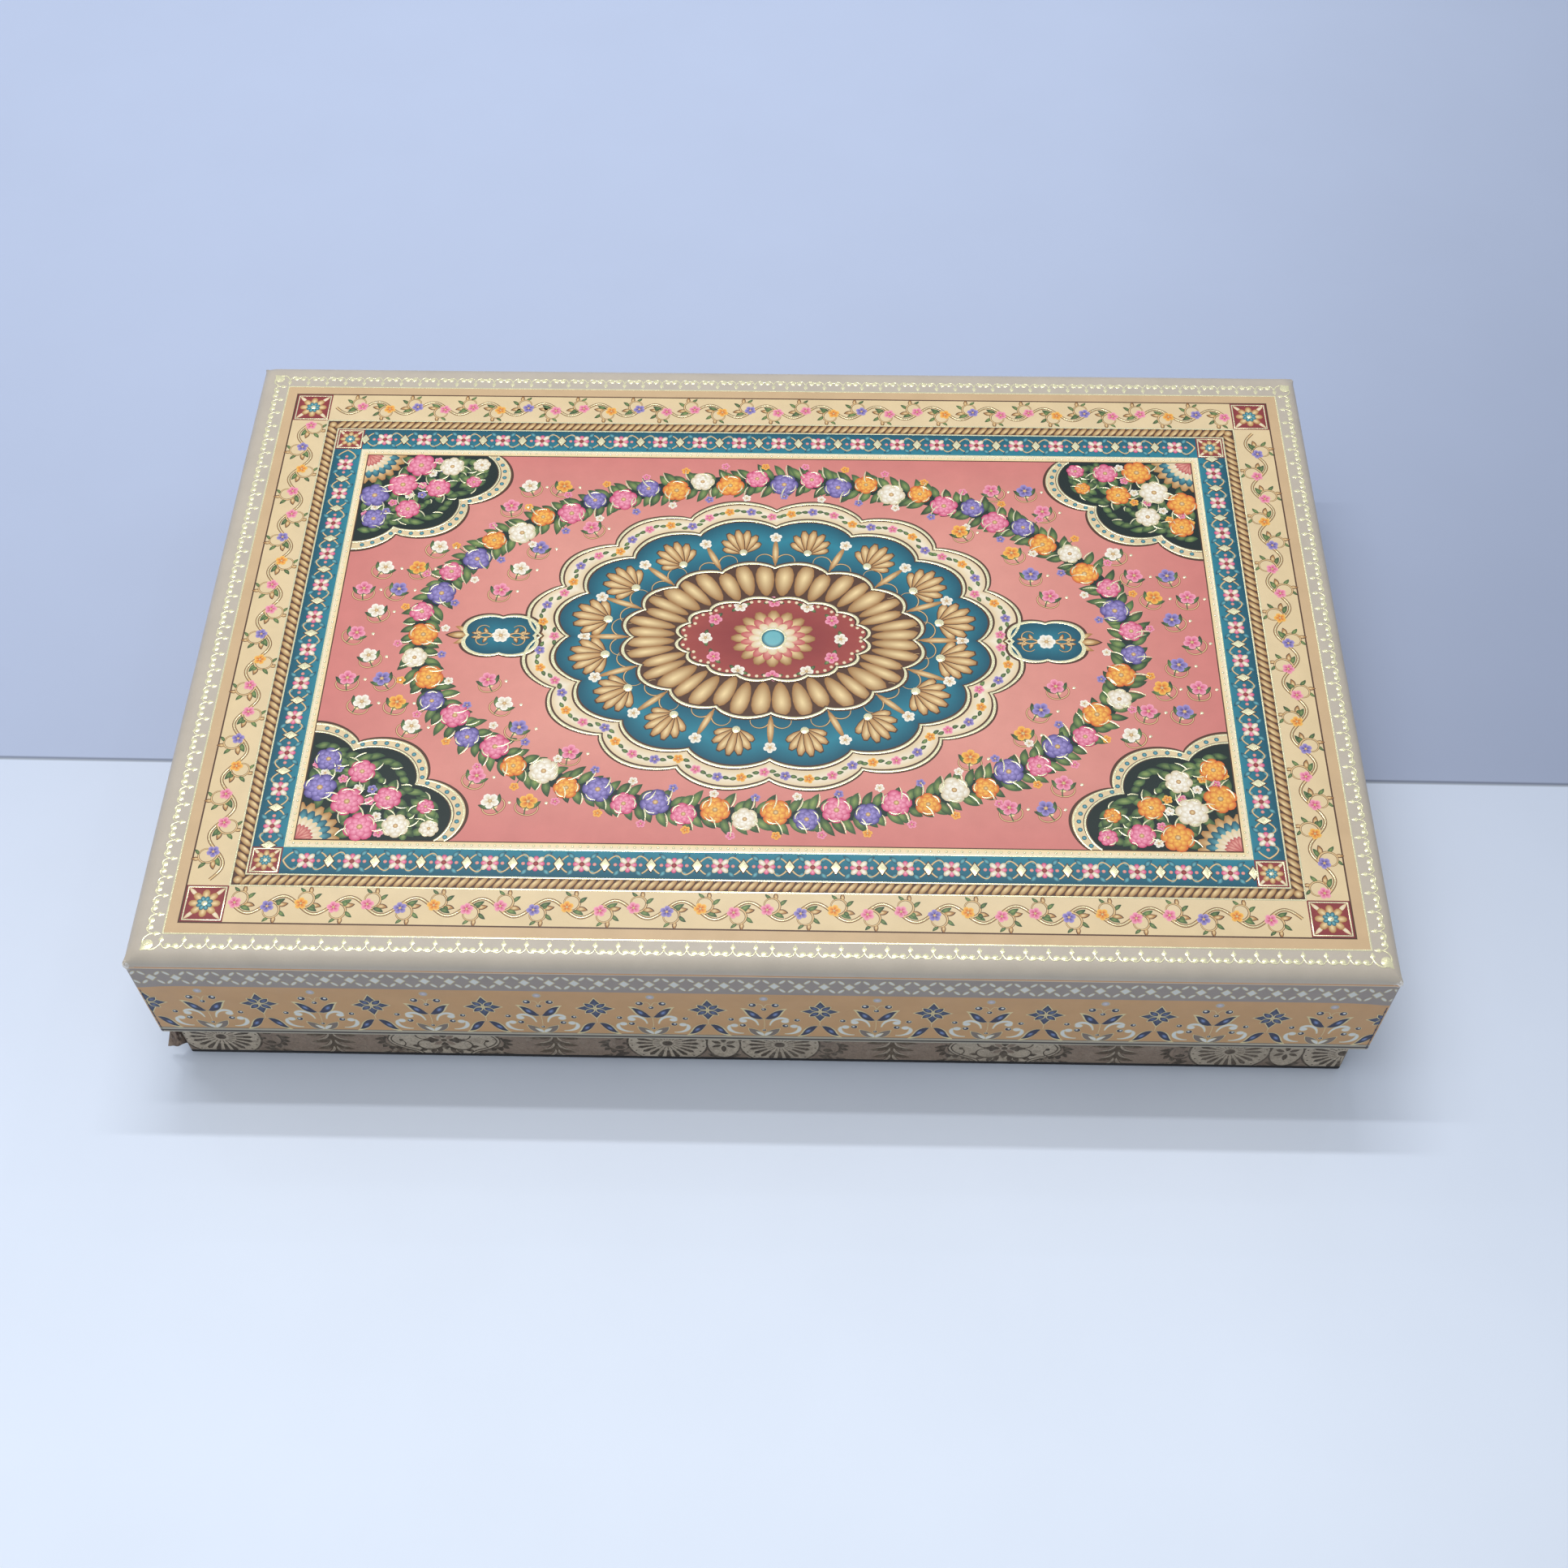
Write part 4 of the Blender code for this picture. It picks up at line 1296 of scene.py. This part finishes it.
def rubbed(spots, half, edges):
    """How rubbed each place is: most at the corners, and a little along the edges at those heights."""
    corner = to_corner(spots[:, :2], half)
    side = np.min(half - np.abs(spots[:, :2]), axis=1)
    wear = 0.22 * np.exp(-corner / 0.8)
    for height, share in edges:
        rise = spots[:, 2] - height
        wear = np.maximum(wear, share * np.exp(-np.hypot(corner, rise) / 2.2))
        wear = np.maximum(wear, 0.24 * np.exp(-np.hypot(side, rise) / 0.7))
    return wear


SHARP_ANGLE = math.radians(40)


def cover_mesh(name, rings, slots, materials, top=None, wear=None):
    """Bridges rings (points, height) downwards from top (points, heights, columns), or from the first."""
    shape = bmesh.new()

    def add(points, heights):
        return [shape.verts.new((x * MM, y * MM, z * MM)) for (x, y), z in zip(points, heights)]

    loops = []
    if top is not None:
        points, heights, columns = top
        net = add(points, heights)
        rows = len(net) // columns
        for row in range(rows - 1):
            for column in range(columns - 1):
                corner = row * columns + column
                face = (corner, corner + 1, corner + columns + 1, corner + columns)
                shape.faces.new([net[k] for k in face])
        front = list(range(columns))
        right = [columns * (row + 1) - 1 for row in range(1, rows)]
        back = [len(net) - 1 - k for k in range(1, columns)]
        left = [columns * (rows - 1 - row) for row in range(1, rows - 1)]
        loops.append([net[k] for k in front + right + back + left])
    for points, height in rings:
        loops.append(add(points, np.broadcast_to(height, len(points))))
    for index, (upper, lower) in enumerate(zip(loops, loops[1:])):
        for k in range(len(upper)):
            after = (k + 1) % len(upper)
            face = shape.faces.new((upper[k], lower[k], lower[after], upper[after]))
            face.material_index = slots[index]
    mesh = bpy.data.meshes.new(name)
    shape.to_mesh(mesh)
    shape.free()
    for material in materials:
        mesh.materials.append(material)
    mesh.shade_smooth()
    mesh.set_sharp_from_angle(angle=SHARP_ANGLE)
    if wear is not None:
        layer = mesh.attributes.new("wear", "FLOAT", "POINT")
        layer.data.foreach_set("value", rubbed(vertex_places(mesh), *wear).astype(np.float32))
    return put(name, mesh)


def thicken(sheet, offset):
    """Gives a sheet the paper's thickness."""
    thick = sheet.modifiers.new("paper", "SOLIDIFY")
    thick.thickness = PAPER * MM
    thick.offset = offset


def corner_radius(inset):
    return max(CORNER_RADIUS - inset, INNER_CORNER_RADIUS)


def rim_rings(half, rim, upwards):
    """Rings from an outer wall that ends at rim, round the board's edge, to the wall's inner side."""
    outer = [(RIM_FOLD * (1 - math.cos(angle)), angle) for angle in FOLD_STEPS]
    inner = [(WALL_STACK - RIM_FOLD + RIM_FOLD * math.cos(angle), angle) for angle in FOLD_STEPS[::-1]]
    rings = []
    for inset, angle in outer + inner:
        rings.append((inset, rim + upwards * RIM_FOLD * (1 - math.sin(angle))))
    rings.append((WALL_STACK, rim + upwards * RIM_FOLD))
    return [(loop(half, inset, corner_radius(inset)), height) for inset, height in rings]


# The lid cover's papers in their slots, and which of them each band of the skirt shows
BANDS = {
    "beige": srgb(190, 180, 165),
    "peach": srgb(202, 148, 98),
    "cream": srgb(218, 198, 168),
    "grey": srgb(152, 141, 133),
    "tan": srgb(198, 154, 105),
    "olive_line": srgb(116, 106, 90),
    "stripe": srgb(176, 168, 148),
    "dark_line": srgb(66, 58, 54),
}
BAND_SLOTS = (0, 1, 2, 3, 4, 5, 6, 7, 6)  # from the fold edge down
STRIPE_SLOT, MARGIN_SLOT = 6, 8
BEIGE_END, GREY_END, TAN_END = BAND_ENDS[2:5]
MORE_DROPS = (3.0, 20.0, 33.0)  # rings within the bands
STRIPE_RISE = 5.0  # how far the stripe's paper shows inside the rim
FOLD_WEAR, RIM_WEAR = 0.78, 0.1  # how rubbed the corners are at those heights


def lid_cover():
    materials = [printed_paper(f"lid_paper_{name}", colour, worn=True) for name, colour in BANDS.items()]
    materials.append(plain_paper("lid_paper_bare_margin", PAPER_WHITE))

    flat, columns = grid(LID_HALF)
    plan = corner_tip(rounded(flat, LID_HALF, CORNER_RADIUS), LID_HALF, 0.0)
    edge = np.exp(-np.min(LID_HALF - np.abs(flat), axis=1) / 0.8) * HAND_WOBBLE
    plan += np.sign(flat) * (edge * wobble(flat))[:, None] * 0.5

    rings, slots = [], []
    middles = ((BEIGE_END + GREY_END) / 2, (GREY_END + TAN_END) / 2)
    for drop in sorted(BAND_ENDS + middles + MORE_DROPS):
        points = loop(LID_HALF, 0.0, CORNER_RADIUS)
        stray = HAND_WOBBLE * (0.4 if drop > TAN_END else 0.5 * math.exp(-drop / 0.8))
        far = np.sort(LID_HALF - np.abs(points), axis=1)[:, 1]
        dip = BAND_DIP * np.exp(-((far / DIP_REACH) ** 2)) * (drop == GREY_END)
        points = corner_tip(points, LID_HALF, drop)
        points += np.sign(points) * (stray * wobble(points))[:, None]
        rings.append((points, FOLD_EDGE - drop - dip))
        slots.append(BAND_SLOTS[next(k for k, end in enumerate(BAND_ENDS) if drop <= end)])
    folded = rim_rings(LID_HALF, LID_RIM, 1)
    rings += folded
    slots += [STRIPE_SLOT] * len(folded)
    for rise, slot in ((STRIPE_RISE, STRIPE_SLOT), (TURN_IN, MARGIN_SLOT)):
        rings.append((loop(LID_HALF, WALL_STACK, INNER_CORNER_RADIUS), LID_RIM + rise))
        slots.append(slot)
    wear = (LID_HALF, ((FOLD_EDGE, FOLD_WEAR), (LID_RIM, RIM_WEAR)))
    top = (plan, lid_height(flat), columns)
    cover = cover_mesh("lid_printed_cover", rings, slots, materials, top, wear)
    thicken(cover, -1.0)
    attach(cover, "lid")
    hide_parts("lid_cover")


def tray_cover():
    ground = aged_shaded_tile_paper("tray_paper_tiles", use_ink=False)
    rings = [(loop(TRAY_HALF, WALL_STACK, INNER_CORNER_RADIUS), TRAY_RIM - TURN_IN)]
    rings += rim_rings(TRAY_HALF, TRAY_RIM, -1)[::-1]
    for height in np.linspace(TRAY_RIM - RIM_FOLD, TRAY_FOOT + RIM_FOLD + FOOT_SHADOW, 9):
        rings.append((loop(TRAY_HALF, 0.0, CORNER_RADIUS), height))
    slots = [0] * (len(rings) - 1)
    rings.append((loop(TRAY_HALF, 0.0, CORNER_RADIUS), TRAY_FOOT + RIM_FOLD))
    for angle in FOLD_STEPS:
        inset = RIM_FOLD * (1 - math.cos(angle))
        height = TRAY_FOOT + RIM_FOLD * (1 - math.sin(angle))
        rings.append((loop(TRAY_HALF, inset, corner_radius(inset)), height))
    rings.append((loop(TRAY_HALF, TURN_UNDER, INNER_CORNER_RADIUS), TRAY_FOOT))
    slots += [1] * (len(rings) - 1 - len(slots))
    # The foot's near-black paper, from the band over the foot round to the turned-under margin, is a
    # painted contact shadow
    foot = printed_paper("tray_painted_foot_shadow", srgb(26, 21, 18), shine=0.6)
    cover = cover_mesh("tray_printed_cover", rings, slots, [ground, foot])
    thicken(cover, -1.0)
    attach(cover, "tray")
    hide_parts("tray_cover")


# Laying the prints on the covers

EDGE_LIFT, LIFT_START, LIFT_FADE = 0.05, 8.0, 3.0  # more room where the lid's cover curves


def on_lid_top(spots):
    """The lid's top face, with the print's own shift."""
    plan = spots[:, :2] + (PRINT_SHIFT.real, PRINT_SHIFT.imag)
    to_side = np.min(LID_HALF - np.abs(plan), axis=1)
    lift = EDGE_LIFT * np.clip((LIFT_START - to_side) / LIFT_FADE, 0, 1)
    return np.column_stack((plan, lid_height(plan) + lift + spots[:, 2]))


def on_wall(side, half, top):
    """One outer wall, seen from outside: x runs to the right, and y runs down from top."""
    right, out, distance = {
        "front": ((1, 0), (0, -1), half[1]),
        "right": ((0, 1), (1, 0), half[0]),
        "back": ((-1, 0), (0, 1), half[1]),
        "left": ((0, -1), (-1, 0), half[0]),
    }[side]

    def place(spots):
        plan = spots[:, :1] * np.array(right) + (distance + spots[:, 2:]) * np.array(out)
        return np.column_stack((plan, top - spots[:, 1]))

    return place


# The walls, and the axis that each one's length runs along
WALLS = (("front", 0), ("right", 1), ("back", 0), ("left", 1))


def placed_mesh(name, shapes, place, handed, limits):
    """A mesh of one ink's shapes, cut at limits (half width, top, bottom) and laid by place.

    Each shape is lifted a hair of its own, so that no two that cross lie in one plane.
    """
    offsets = np.cumsum([0] + [len(shape[0]) for shape in shapes[:-1]])
    points, heights, faces, colours = zip(*shapes)
    hairs = (GOLDEN * np.arange(len(shapes)) + GOLDEN ** 2 * sum(map(ord, name))) % 1 * HAIR
    heights = [height + hair for height, hair in zip(heights, hairs)]
    points, heights, colours = np.concatenate(points), np.concatenate(heights), np.concatenate(colours)
    faces = np.concatenate([face + start for face, start in zip(faces, offsets)])
    first, second, third = points[faces].T
    turn = np.imag(np.conj(second - first) * (third - first))
    faces = np.where((turn * handed < 0)[:, None], faces[:, ::-1], faces)[np.abs(turn) > 1e-7]

    mesh = bpy.data.meshes.new(name)
    mesh.from_pydata(np.column_stack((points.real, points.imag, heights)).tolist(), [], faces.tolist())
    ink = mesh.color_attributes.new("ink", "FLOAT_COLOR", "POINT")
    opaque = np.column_stack((colours, np.ones(len(colours))))
    ink.data.foreach_set("color", opaque.astype(np.float32).ravel())
    if limits is not None:
        width, top, bottom = limits
        cut = bmesh.new()
        cut.from_mesh(mesh)
        for x, y, right, down in ((-width, 0, -1, 0), (width, 0, 1, 0), (0, top, 0, -1), (0, bottom, 0, 1)):
            parts = cut.verts[:] + cut.edges[:] + cut.faces[:]
            away = (right, down, 0)
            bmesh.ops.bisect_plane(cut, geom=parts, plane_co=(x, y, 0), plane_no=away, clear_outer=True)
        cut.to_mesh(mesh)
        cut.free()
    spots = vertex_places(mesh) * MM
    mesh.vertices.foreach_set("co", (place(spots) * MM).astype(np.float32).ravel())
    return mesh


def lay_prints(prefix, sheets, materials, body):
    """sheets lists (print, place, handed, limits). Each ink becomes one piece over all of them."""
    for ink, material in materials.items():
        name = f"{prefix}_{ink}"
        shape = bmesh.new()
        for sheet, place, handed, limits in sheets:
            if ink in sheet.inks:
                part = placed_mesh(name, sheet.inks[ink], place, handed, limits)
                shape.from_mesh(part)
                bpy.data.meshes.remove(part)
        mesh = bpy.data.meshes.new(name)
        shape.to_mesh(mesh)
        shape.free()
        mesh.materials.append(material)
        if ink == "foil":
            mesh.shade_smooth()
        piece = put(name, mesh)
        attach(piece, body)


def repeats(length, period, shift):
    """Places of a pattern along a wall, one more than fits at each end."""
    count = math.ceil(length / 2 / period) + 1
    return [k * period + shift for k in range(-count, count + 1)]


# The dark ragged line along each edge of the skirt, where the print's ends meet
JOIN_INSET, JOIN_TOP, JOIN_END, JOIN_STEPS = 0.25, 14.0, 41.2, 60


def skirt_sheets():
    sheets = []
    chain, spray, bloom = chain_unit(CHAIN_PERIOD), sprig(), star()
    for side, axis in WALLS:
        sheet = Print()
        length = 2 * LID_HALF[axis]
        for x in repeats(length, CHAIN_PERIOD, CHAIN_SHIFT):
            sheet.stamp(chain, x + CHAIN_DROP * 1j)
        for x in repeats(length, SPRIG_PERIOD, SPRIG_SHIFT):
            sheet.stamp(spray, x + SPRIG_DROP * 1j)
            sheet.stamp(bloom, x + SPRIG_PERIOD / 2 + SPRIG_DROP * 1j)
        join = LID_HALF[axis] - CORNER_RADIUS - JOIN_INSET
        drops = np.linspace(JOIN_TOP, JOIN_END, JOIN_STEPS)
        for way in (-1, 1):
            ragged = 0.3 + 0.2 * np.sin(drops * 1.9 + way) * np.sin(drops * 0.83 + axis)
            sheet.stroke("navy", way * join + drops * 1j, ragged, 5, tones=NAVY * 0.9)
        limits = (LID_HALF[axis] - CORNER_RADIUS, 0.0, FOLD_EDGE - LID_RIM)
        sheets.append((sheet, on_wall(side, LID_HALF, FOLD_EDGE), -1, limits))
    return sheets


def tray_sheets():
    """Rows of tiles in turn, the fans in pairs, as they pass round the walls."""
    tiles = (tile_fan(joined=True), tile_fan(), tile_damask(), tile_ogee(), tile_damask())
    sheets = []
    number = -4  # so that the front's left end shows the fans
    for side, axis in WALLS:
        sheet = Print()
        for x in repeats(2 * TRAY_HALF[axis], TILE, TILE_SHIFT)[::-1]:
            for row, y in enumerate(TILE_ROWS):
                sheet.stamp(tiles[(number + 2 * row) % len(tiles)], x + y * 1j)
            number += 1
        bottom = TRAY_RIM - TRAY_FOOT - RIM_FOLD - FOOT_SHADOW
        limits = (TRAY_HALF[axis] - CORNER_RADIUS, RIM_FOLD, bottom)
        sheets.append((sheet, on_wall(side, TRAY_HALF, TRAY_RIM), -1, limits))
    return sheets


def all_prints():
    top = lace_border()
    top.fill("peach", corners(FRAME_HALF), 1)
    top.stamp(picture())
    inks = {ink: printed_paper(f"lid_ink_{ink}") for ink in top.inks if ink != "foil"}
    inks = {"foil": foil("lid_gold_foil"), **inks}
    lay_prints("lid_top", [(top, on_lid_top, 1, None)], inks, "lid")
    skirt = skirt_sheets()
    inks = {ink: printed_paper(f"lid_skirt_ink_{ink}") for ink in skirt[0][0].inks}
    lay_prints("lid_skirt", skirt, inks, "lid")
    tray = tray_sheets()
    inks = {ink: aged_shaded_tile_paper(f"tray_ink_{ink}", use_ink=True) for ink in tray[0][0].inks}
    lay_prints("tray_wall", tray, inks, "tray")


# The torn flap, foam, lining and hidden parts

def flap_paper():
    """Brown paper with upright streaks where the tray's print was folded and rubbed, darkened by painted
    shade.
    """
    made = Material("tray_flap_paper")
    squeeze = made.node("ShaderNodeVectorMath", operation="MULTIPLY")
    made.feed(squeeze.inputs[0], made.place)
    squeeze.inputs[1].default_value = (1.0, 1.0, 0.16)
    made.place = squeeze.outputs[0]
    streaks = made.ramp(made.noise(1.3, 5.0, 0.65, 0.4), 0.38, 0.64)
    tone = made.mix(streaks, srgb(72, 54, 44), srgb(158, 136, 116))
    tone = made.mix(made.ramp(made.noise(0.9, 3.0), 0.6, 0.7, 0.0, 0.8), tone, srgb(190, 176, 160))
    # Painted shade: the "wear" values darken the flap in the fold by the tray's corner and near the floor
    tone = made.mix(made.attribute("wear", "Fac"), tone, srgb(34, 24, 18))
    rough = made.uneven(0.6, 0.8, 3.0)
    made.bump((made.noise(1.5, 4.0), 0.08))
    return made.finish(tone, rough)


FLAP_GRID = (19, 11)
FLAP_TOP, FLAP_FOOT, FLAP_REACH = 19.5, 4.6, 7.0  # heights of its outer end, and its reach at the foot
FLAP_NARROWING = 0.32  # how much less it reaches for each millimetre up


def loose_flap():
    """A crumpled end of the tray's paper that flares out at its front left corner."""
    columns, rows = FLAP_GRID
    points, shade = [], []
    for u in np.linspace(0, 1, columns):
        low = 1.3 + 3.3 * (1 - math.exp(-5.4 * u)) + 0.2 * math.sin(13 * u)
        for v in np.linspace(0, 1, rows):
            z = low + (FLAP_TOP - low) * v
            reach = (FLAP_REACH - FLAP_NARROWING * (z - FLAP_FOOT)) * u
            ridge = 0.45 * math.sin(12.5 * u + 0.9 * v + 0.4) * math.sin(math.pi * min(1.0, u + 0.1))
            valley = 1.5 * math.exp(-(((u - 0.16) / 0.14) ** 2))
            x = -TRAY_HALF[0] + 0.4 - reach + 0.2 * ridge
            y = -TRAY_HALF[1] + 0.6 + valley - 0.7 * u - ridge
            points.append((x * MM, y * MM, z * MM))
            # Painted shade, kept in the "wear" values: darkest in the fold by the tray's corner, and a
            # little near the floor
            shade.append(math.exp(-((max(u - 0.1, 0) / 0.17) ** 2)) + 0.25 * math.exp(-z / 3))
    faces = []
    for column in range(columns - 1):
        for row in range(rows - 1):
            low = column * rows + row
            faces.append((low, low + rows, low + rows + 1, low + 1))
    mesh = bpy.data.meshes.new("tray_loose_flap")
    mesh.from_pydata(points, [], faces)
    mesh.shade_smooth()
    mesh.attributes.new("wear", "FLOAT", "POINT").data.foreach_set("value", np.minimum(shade, 1.0))
    mesh.materials.append(flap_paper())
    flap = put("tray_loose_flap", mesh)
    thicken(flap, 0.0)
    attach(flap, "tray")


FOAM_EDGE = 0.4  # how thick the foam stays at its edge


def foam_pad():
    """The foam sheet under the cover, with its upper edge pressed round."""
    low, high = (np.array(corner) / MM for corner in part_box("lid_foam_pad"))
    half = high[:2]
    flat, columns = grid(half)
    rise = pillow(flat, half, PAD_ROUND - COVER_TO_BOARD)
    heights = low[2] + FOAM_EDGE + (high[2] - low[2] - FOAM_EDGE) * rise
    rings = [(loop(half, 0.0, INNER_CORNER_RADIUS), low[2])]
    plan = rounded(flat, half, INNER_CORNER_RADIUS)
    material = foam_material("foam", srgb(236, 236, 230))
    pad = cover_mesh("lid_foam", rings, [0], [material], (plan, heights, columns))
    shape = bmesh.new()
    shape.from_mesh(pad.data)
    edges = [edge for edge in shape.edges if edge.is_boundary]
    bmesh.ops.contextual_create(shape, geom=edges)
    shape.to_mesh(pad.data)
    shape.free()
    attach(pad, "lid")
    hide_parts("lid_foam_pad")


def dress_nodes():
    """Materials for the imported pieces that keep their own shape."""
    board = board_material("greyboard", srgb(150, 143, 132))
    tape = plain_paper("corner_tape", srgb(196, 168, 130), fibre=0.1)
    lining = plain_paper("lining", srgb(232, 224, 208))
    underside = plain_paper("underside", srgb(226, 220, 206))
    for name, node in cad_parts.items():
        if name.endswith("_board"):
            material = board
        elif "_corner_tape_" in name:
            material = tape
        elif name.endswith("_lining"):
            material = lining
        elif name == "tray_underside_sheet":
            material = underside
        else:
            continue
        for slot in node.material_slots:
            slot.material = material


# Stage, light and camera

PALE = srgb(180, 190, 210)  # what shows beyond the sweep
SWEEP_FRONT, SWEEP_BACK, SWEEP_WIDTH, SWEEP_HEIGHT, SWEEP_BEND = -2.5, 2.2, 6.0, 3.0, 0.8
BEND_STEPS = 16

# Where the floor sheet meets the backdrop sheet: y at x 0 and its slope, half of how far
# the tones blend, and how far to each side the painted shadow in the gap reaches
SEAM_MIDDLE, SEAM_SLANT = -0.0075, -0.0057
SEAM_BLEND = 0.0003
GAP_DARK, GAP_END = 0.0004, 0.0011

# The sheets' tones, with painted shade for the light's fall-off: the floor's in front and,
# darker, at the seam, the backdrop's at the seam from the middle to the right, darker to
# the right, and the backdrop's far behind
FLOOR_FRONT, FLOOR_SEAM = srgb(230, 240, 255), srgb(179, 191, 215)
DROP_MIDDLE, DROP_RIGHT, DROP_FAR = srgb(178, 190, 216), srgb(161, 172, 197), srgb(195, 208, 235)


def seen_share(tree):
    """1 for rays that see the background, straight or in a gloss, and 0 for rays that light."""
    rays = tree.nodes.new("ShaderNodeLightPath").outputs
    share = rays["Is Camera Ray"]
    for name in ("Is Glossy Ray", "Is Transmission Ray"):
        both = tree.nodes.new("ShaderNodeMath")
        tree.links.new(share, both.inputs[0])
        tree.links.new(rays[name], both.inputs[1])
        share = both.outputs[0]
    return share


def show_beyond(tree, share, near, far, end):
    """Mixes two shaders and puts the result into an output node."""
    choice = tree.nodes.new("ShaderNodeMixShader")
    for socket, source in zip(choice.inputs, (share, near.outputs[0], far.outputs[0])):
        tree.links.new(source, socket)
    tree.links.new(choice.outputs[0], tree.nodes[end].inputs["Surface"])


def make_stage():
    """A pale sweep that rises far behind the box, with the seam of its two sheets under the box and painted
    shade on it.
    """
    flat_end, bend = SWEEP_BACK - SWEEP_BEND, SWEEP_BEND
    profile = [(SWEEP_FRONT, 0.0), (flat_end, 0.0)]
    for step in range(1, BEND_STEPS + 1):
        angle = math.pi / 2 * step / BEND_STEPS
        profile.append((flat_end + bend * math.sin(angle), bend * (1 - math.cos(angle))))
    profile.append((SWEEP_BACK, SWEEP_HEIGHT))
    points = [(side * SWEEP_WIDTH / 2, y, z) for y, z in profile for side in (-1, 1)]
    faces = [(2 * k, 2 * k + 1, 2 * k + 3, 2 * k + 2) for k in range(len(profile) - 1)]
    mesh = bpy.data.meshes.new("sweep")
    mesh.from_pydata(points, [], faces)
    mesh.shade_smooth()
    sweep = put("sweep", mesh)
    made = Material("sweep_paper")
    apart = made.node("ShaderNodeSeparateXYZ")
    made.feed(apart.inputs[0], made.place)
    x, y, z = apart.outputs
    # Painted shade: the floor darkens from the front to the seam, and the backdrop to the right of the
    # seam's middle
    near = made.mix(made.ramp(y, -0.25, 0.3), FLOOR_FRONT, FLOOR_SEAM)
    by_seam = made.mix(made.ramp(x, 0.0, 0.3), DROP_MIDDLE, DROP_RIGHT)
    far = made.mix(made.ramp(y, 0.0, 0.45), by_seam, DROP_FAR)
    slant = made.maths("MULTIPLY", x, SEAM_SLANT)
    past_seam = made.maths("SUBTRACT", made.maths("SUBTRACT", y, slant), SEAM_MIDDLE)
    tone = made.mix(made.ramp(past_seam, -SEAM_BLEND, SEAM_BLEND), near, far)
    # Painted shade: both sheets darker to the right
    tone = made.scaled(tone, made.ramp(x, 0.14, 0.7, 1.0, 0.66))
    # Painted shadow in the gap along the seam
    gap = made.maths("ABSOLUTE", past_seam)
    tone = made.scaled(tone, made.ramp(gap, GAP_DARK, GAP_END, 0.5, 1.0))
    tone = made.scaled(tone, made.uneven(0.99, 1.01, 60.0))
    mesh.materials.append(made.finish(tone, 0.7))
    beyond = made.ramp(made.maths("ABSOLUTE", x), 1.05, 1.8)
    for part, low, high in ((y, -0.95, -1.7), (z, 0.12, 0.6)):
        beyond = made.maths("MAXIMUM", beyond, made.ramp(part, low, high))
    glow = made.node("ShaderNodeEmission")
    made.feed(glow.inputs["Color"], PALE)
    share = made.maths("MULTIPLY", beyond, seen_share(made.tree))
    show_beyond(made.tree, share, made.shader, glow, "Material Output")


TUBE, TUBE_HEIGHT = (0.6, 0.03), 1.25
WORLD_COLOUR, WORLD_STRENGTH = (0.94, 0.97, 1.0), 0.48


def add_light(name, place, size, power, aim=(0.0, 0.0, 0.05)):
    """A soft lamp aimed at the box."""
    data = bpy.data.lights.new(name, "AREA")
    data.shape = "RECTANGLE"
    data.size, data.size_y = size
    data.energy = power
    light = put(name, data)
    light.location = place
    light.rotation_euler = (Vector(aim) - light.location).to_track_quat("-Z", "Y").to_euler()


def make_light():
    for name, x, y, power in (("tube_back", -0.035, 0.345, 4.3), ("tube_front", -0.3, 0.14, 3.2)):
        add_light(name, (x, y, TUBE_HEIGHT), TUBE, power, (x, 0.0, 0.05))
    add_light("softbox", (0.0, 0.93, 1.2), (1.6, 0.012), 0.34)
    add_light("glint_left", (-0.62, 0.58, 1.15), (0.04, 0.04), 0.2)
    add_light("glint_right", (0.58, 0.56, 1.12), (0.05, 0.05), 0.25)
    add_light("front_fill", (-0.5, -0.5, 1.9), (1.2, 0.8), 6.9)
    world = bpy.data.worlds.new("world")
    bpy.context.scene.world = world
    world.use_nodes = True
    tree = world.node_tree
    lit = tree.nodes["Background"]
    lit.inputs["Color"].default_value = (*WORLD_COLOUR, 1.0)
    lit.inputs["Strength"].default_value = WORLD_STRENGTH
    seen = tree.nodes.new("ShaderNodeBackground")
    seen.inputs["Color"].default_value = (*PALE, 1.0)
    show_beyond(tree, seen_share(tree), lit, seen, "World Output")


def make_camera():
    data = bpy.data.cameras.new("camera")
    data.lens = CAMERA_LENS
    data.sensor_width = CAMERA_SENSOR
    camera = put("camera", data)
    turn = Matrix.Identity(4)
    for angle, axis in zip(CAMERA_TURN, "XYZ"):
        turn = turn @ Matrix.Rotation(angle, 4, axis)
    camera.matrix_world = Matrix.Translation(CAMERA_PLACE) @ turn
    bpy.context.scene.camera = camera
    bpy.context.scene.view_settings.view_transform = "Standard"


make_camera()
make_stage()
make_light()
dress_nodes()
foam_pad()
lid_cover()
tray_cover()
all_prints()
loose_flap()
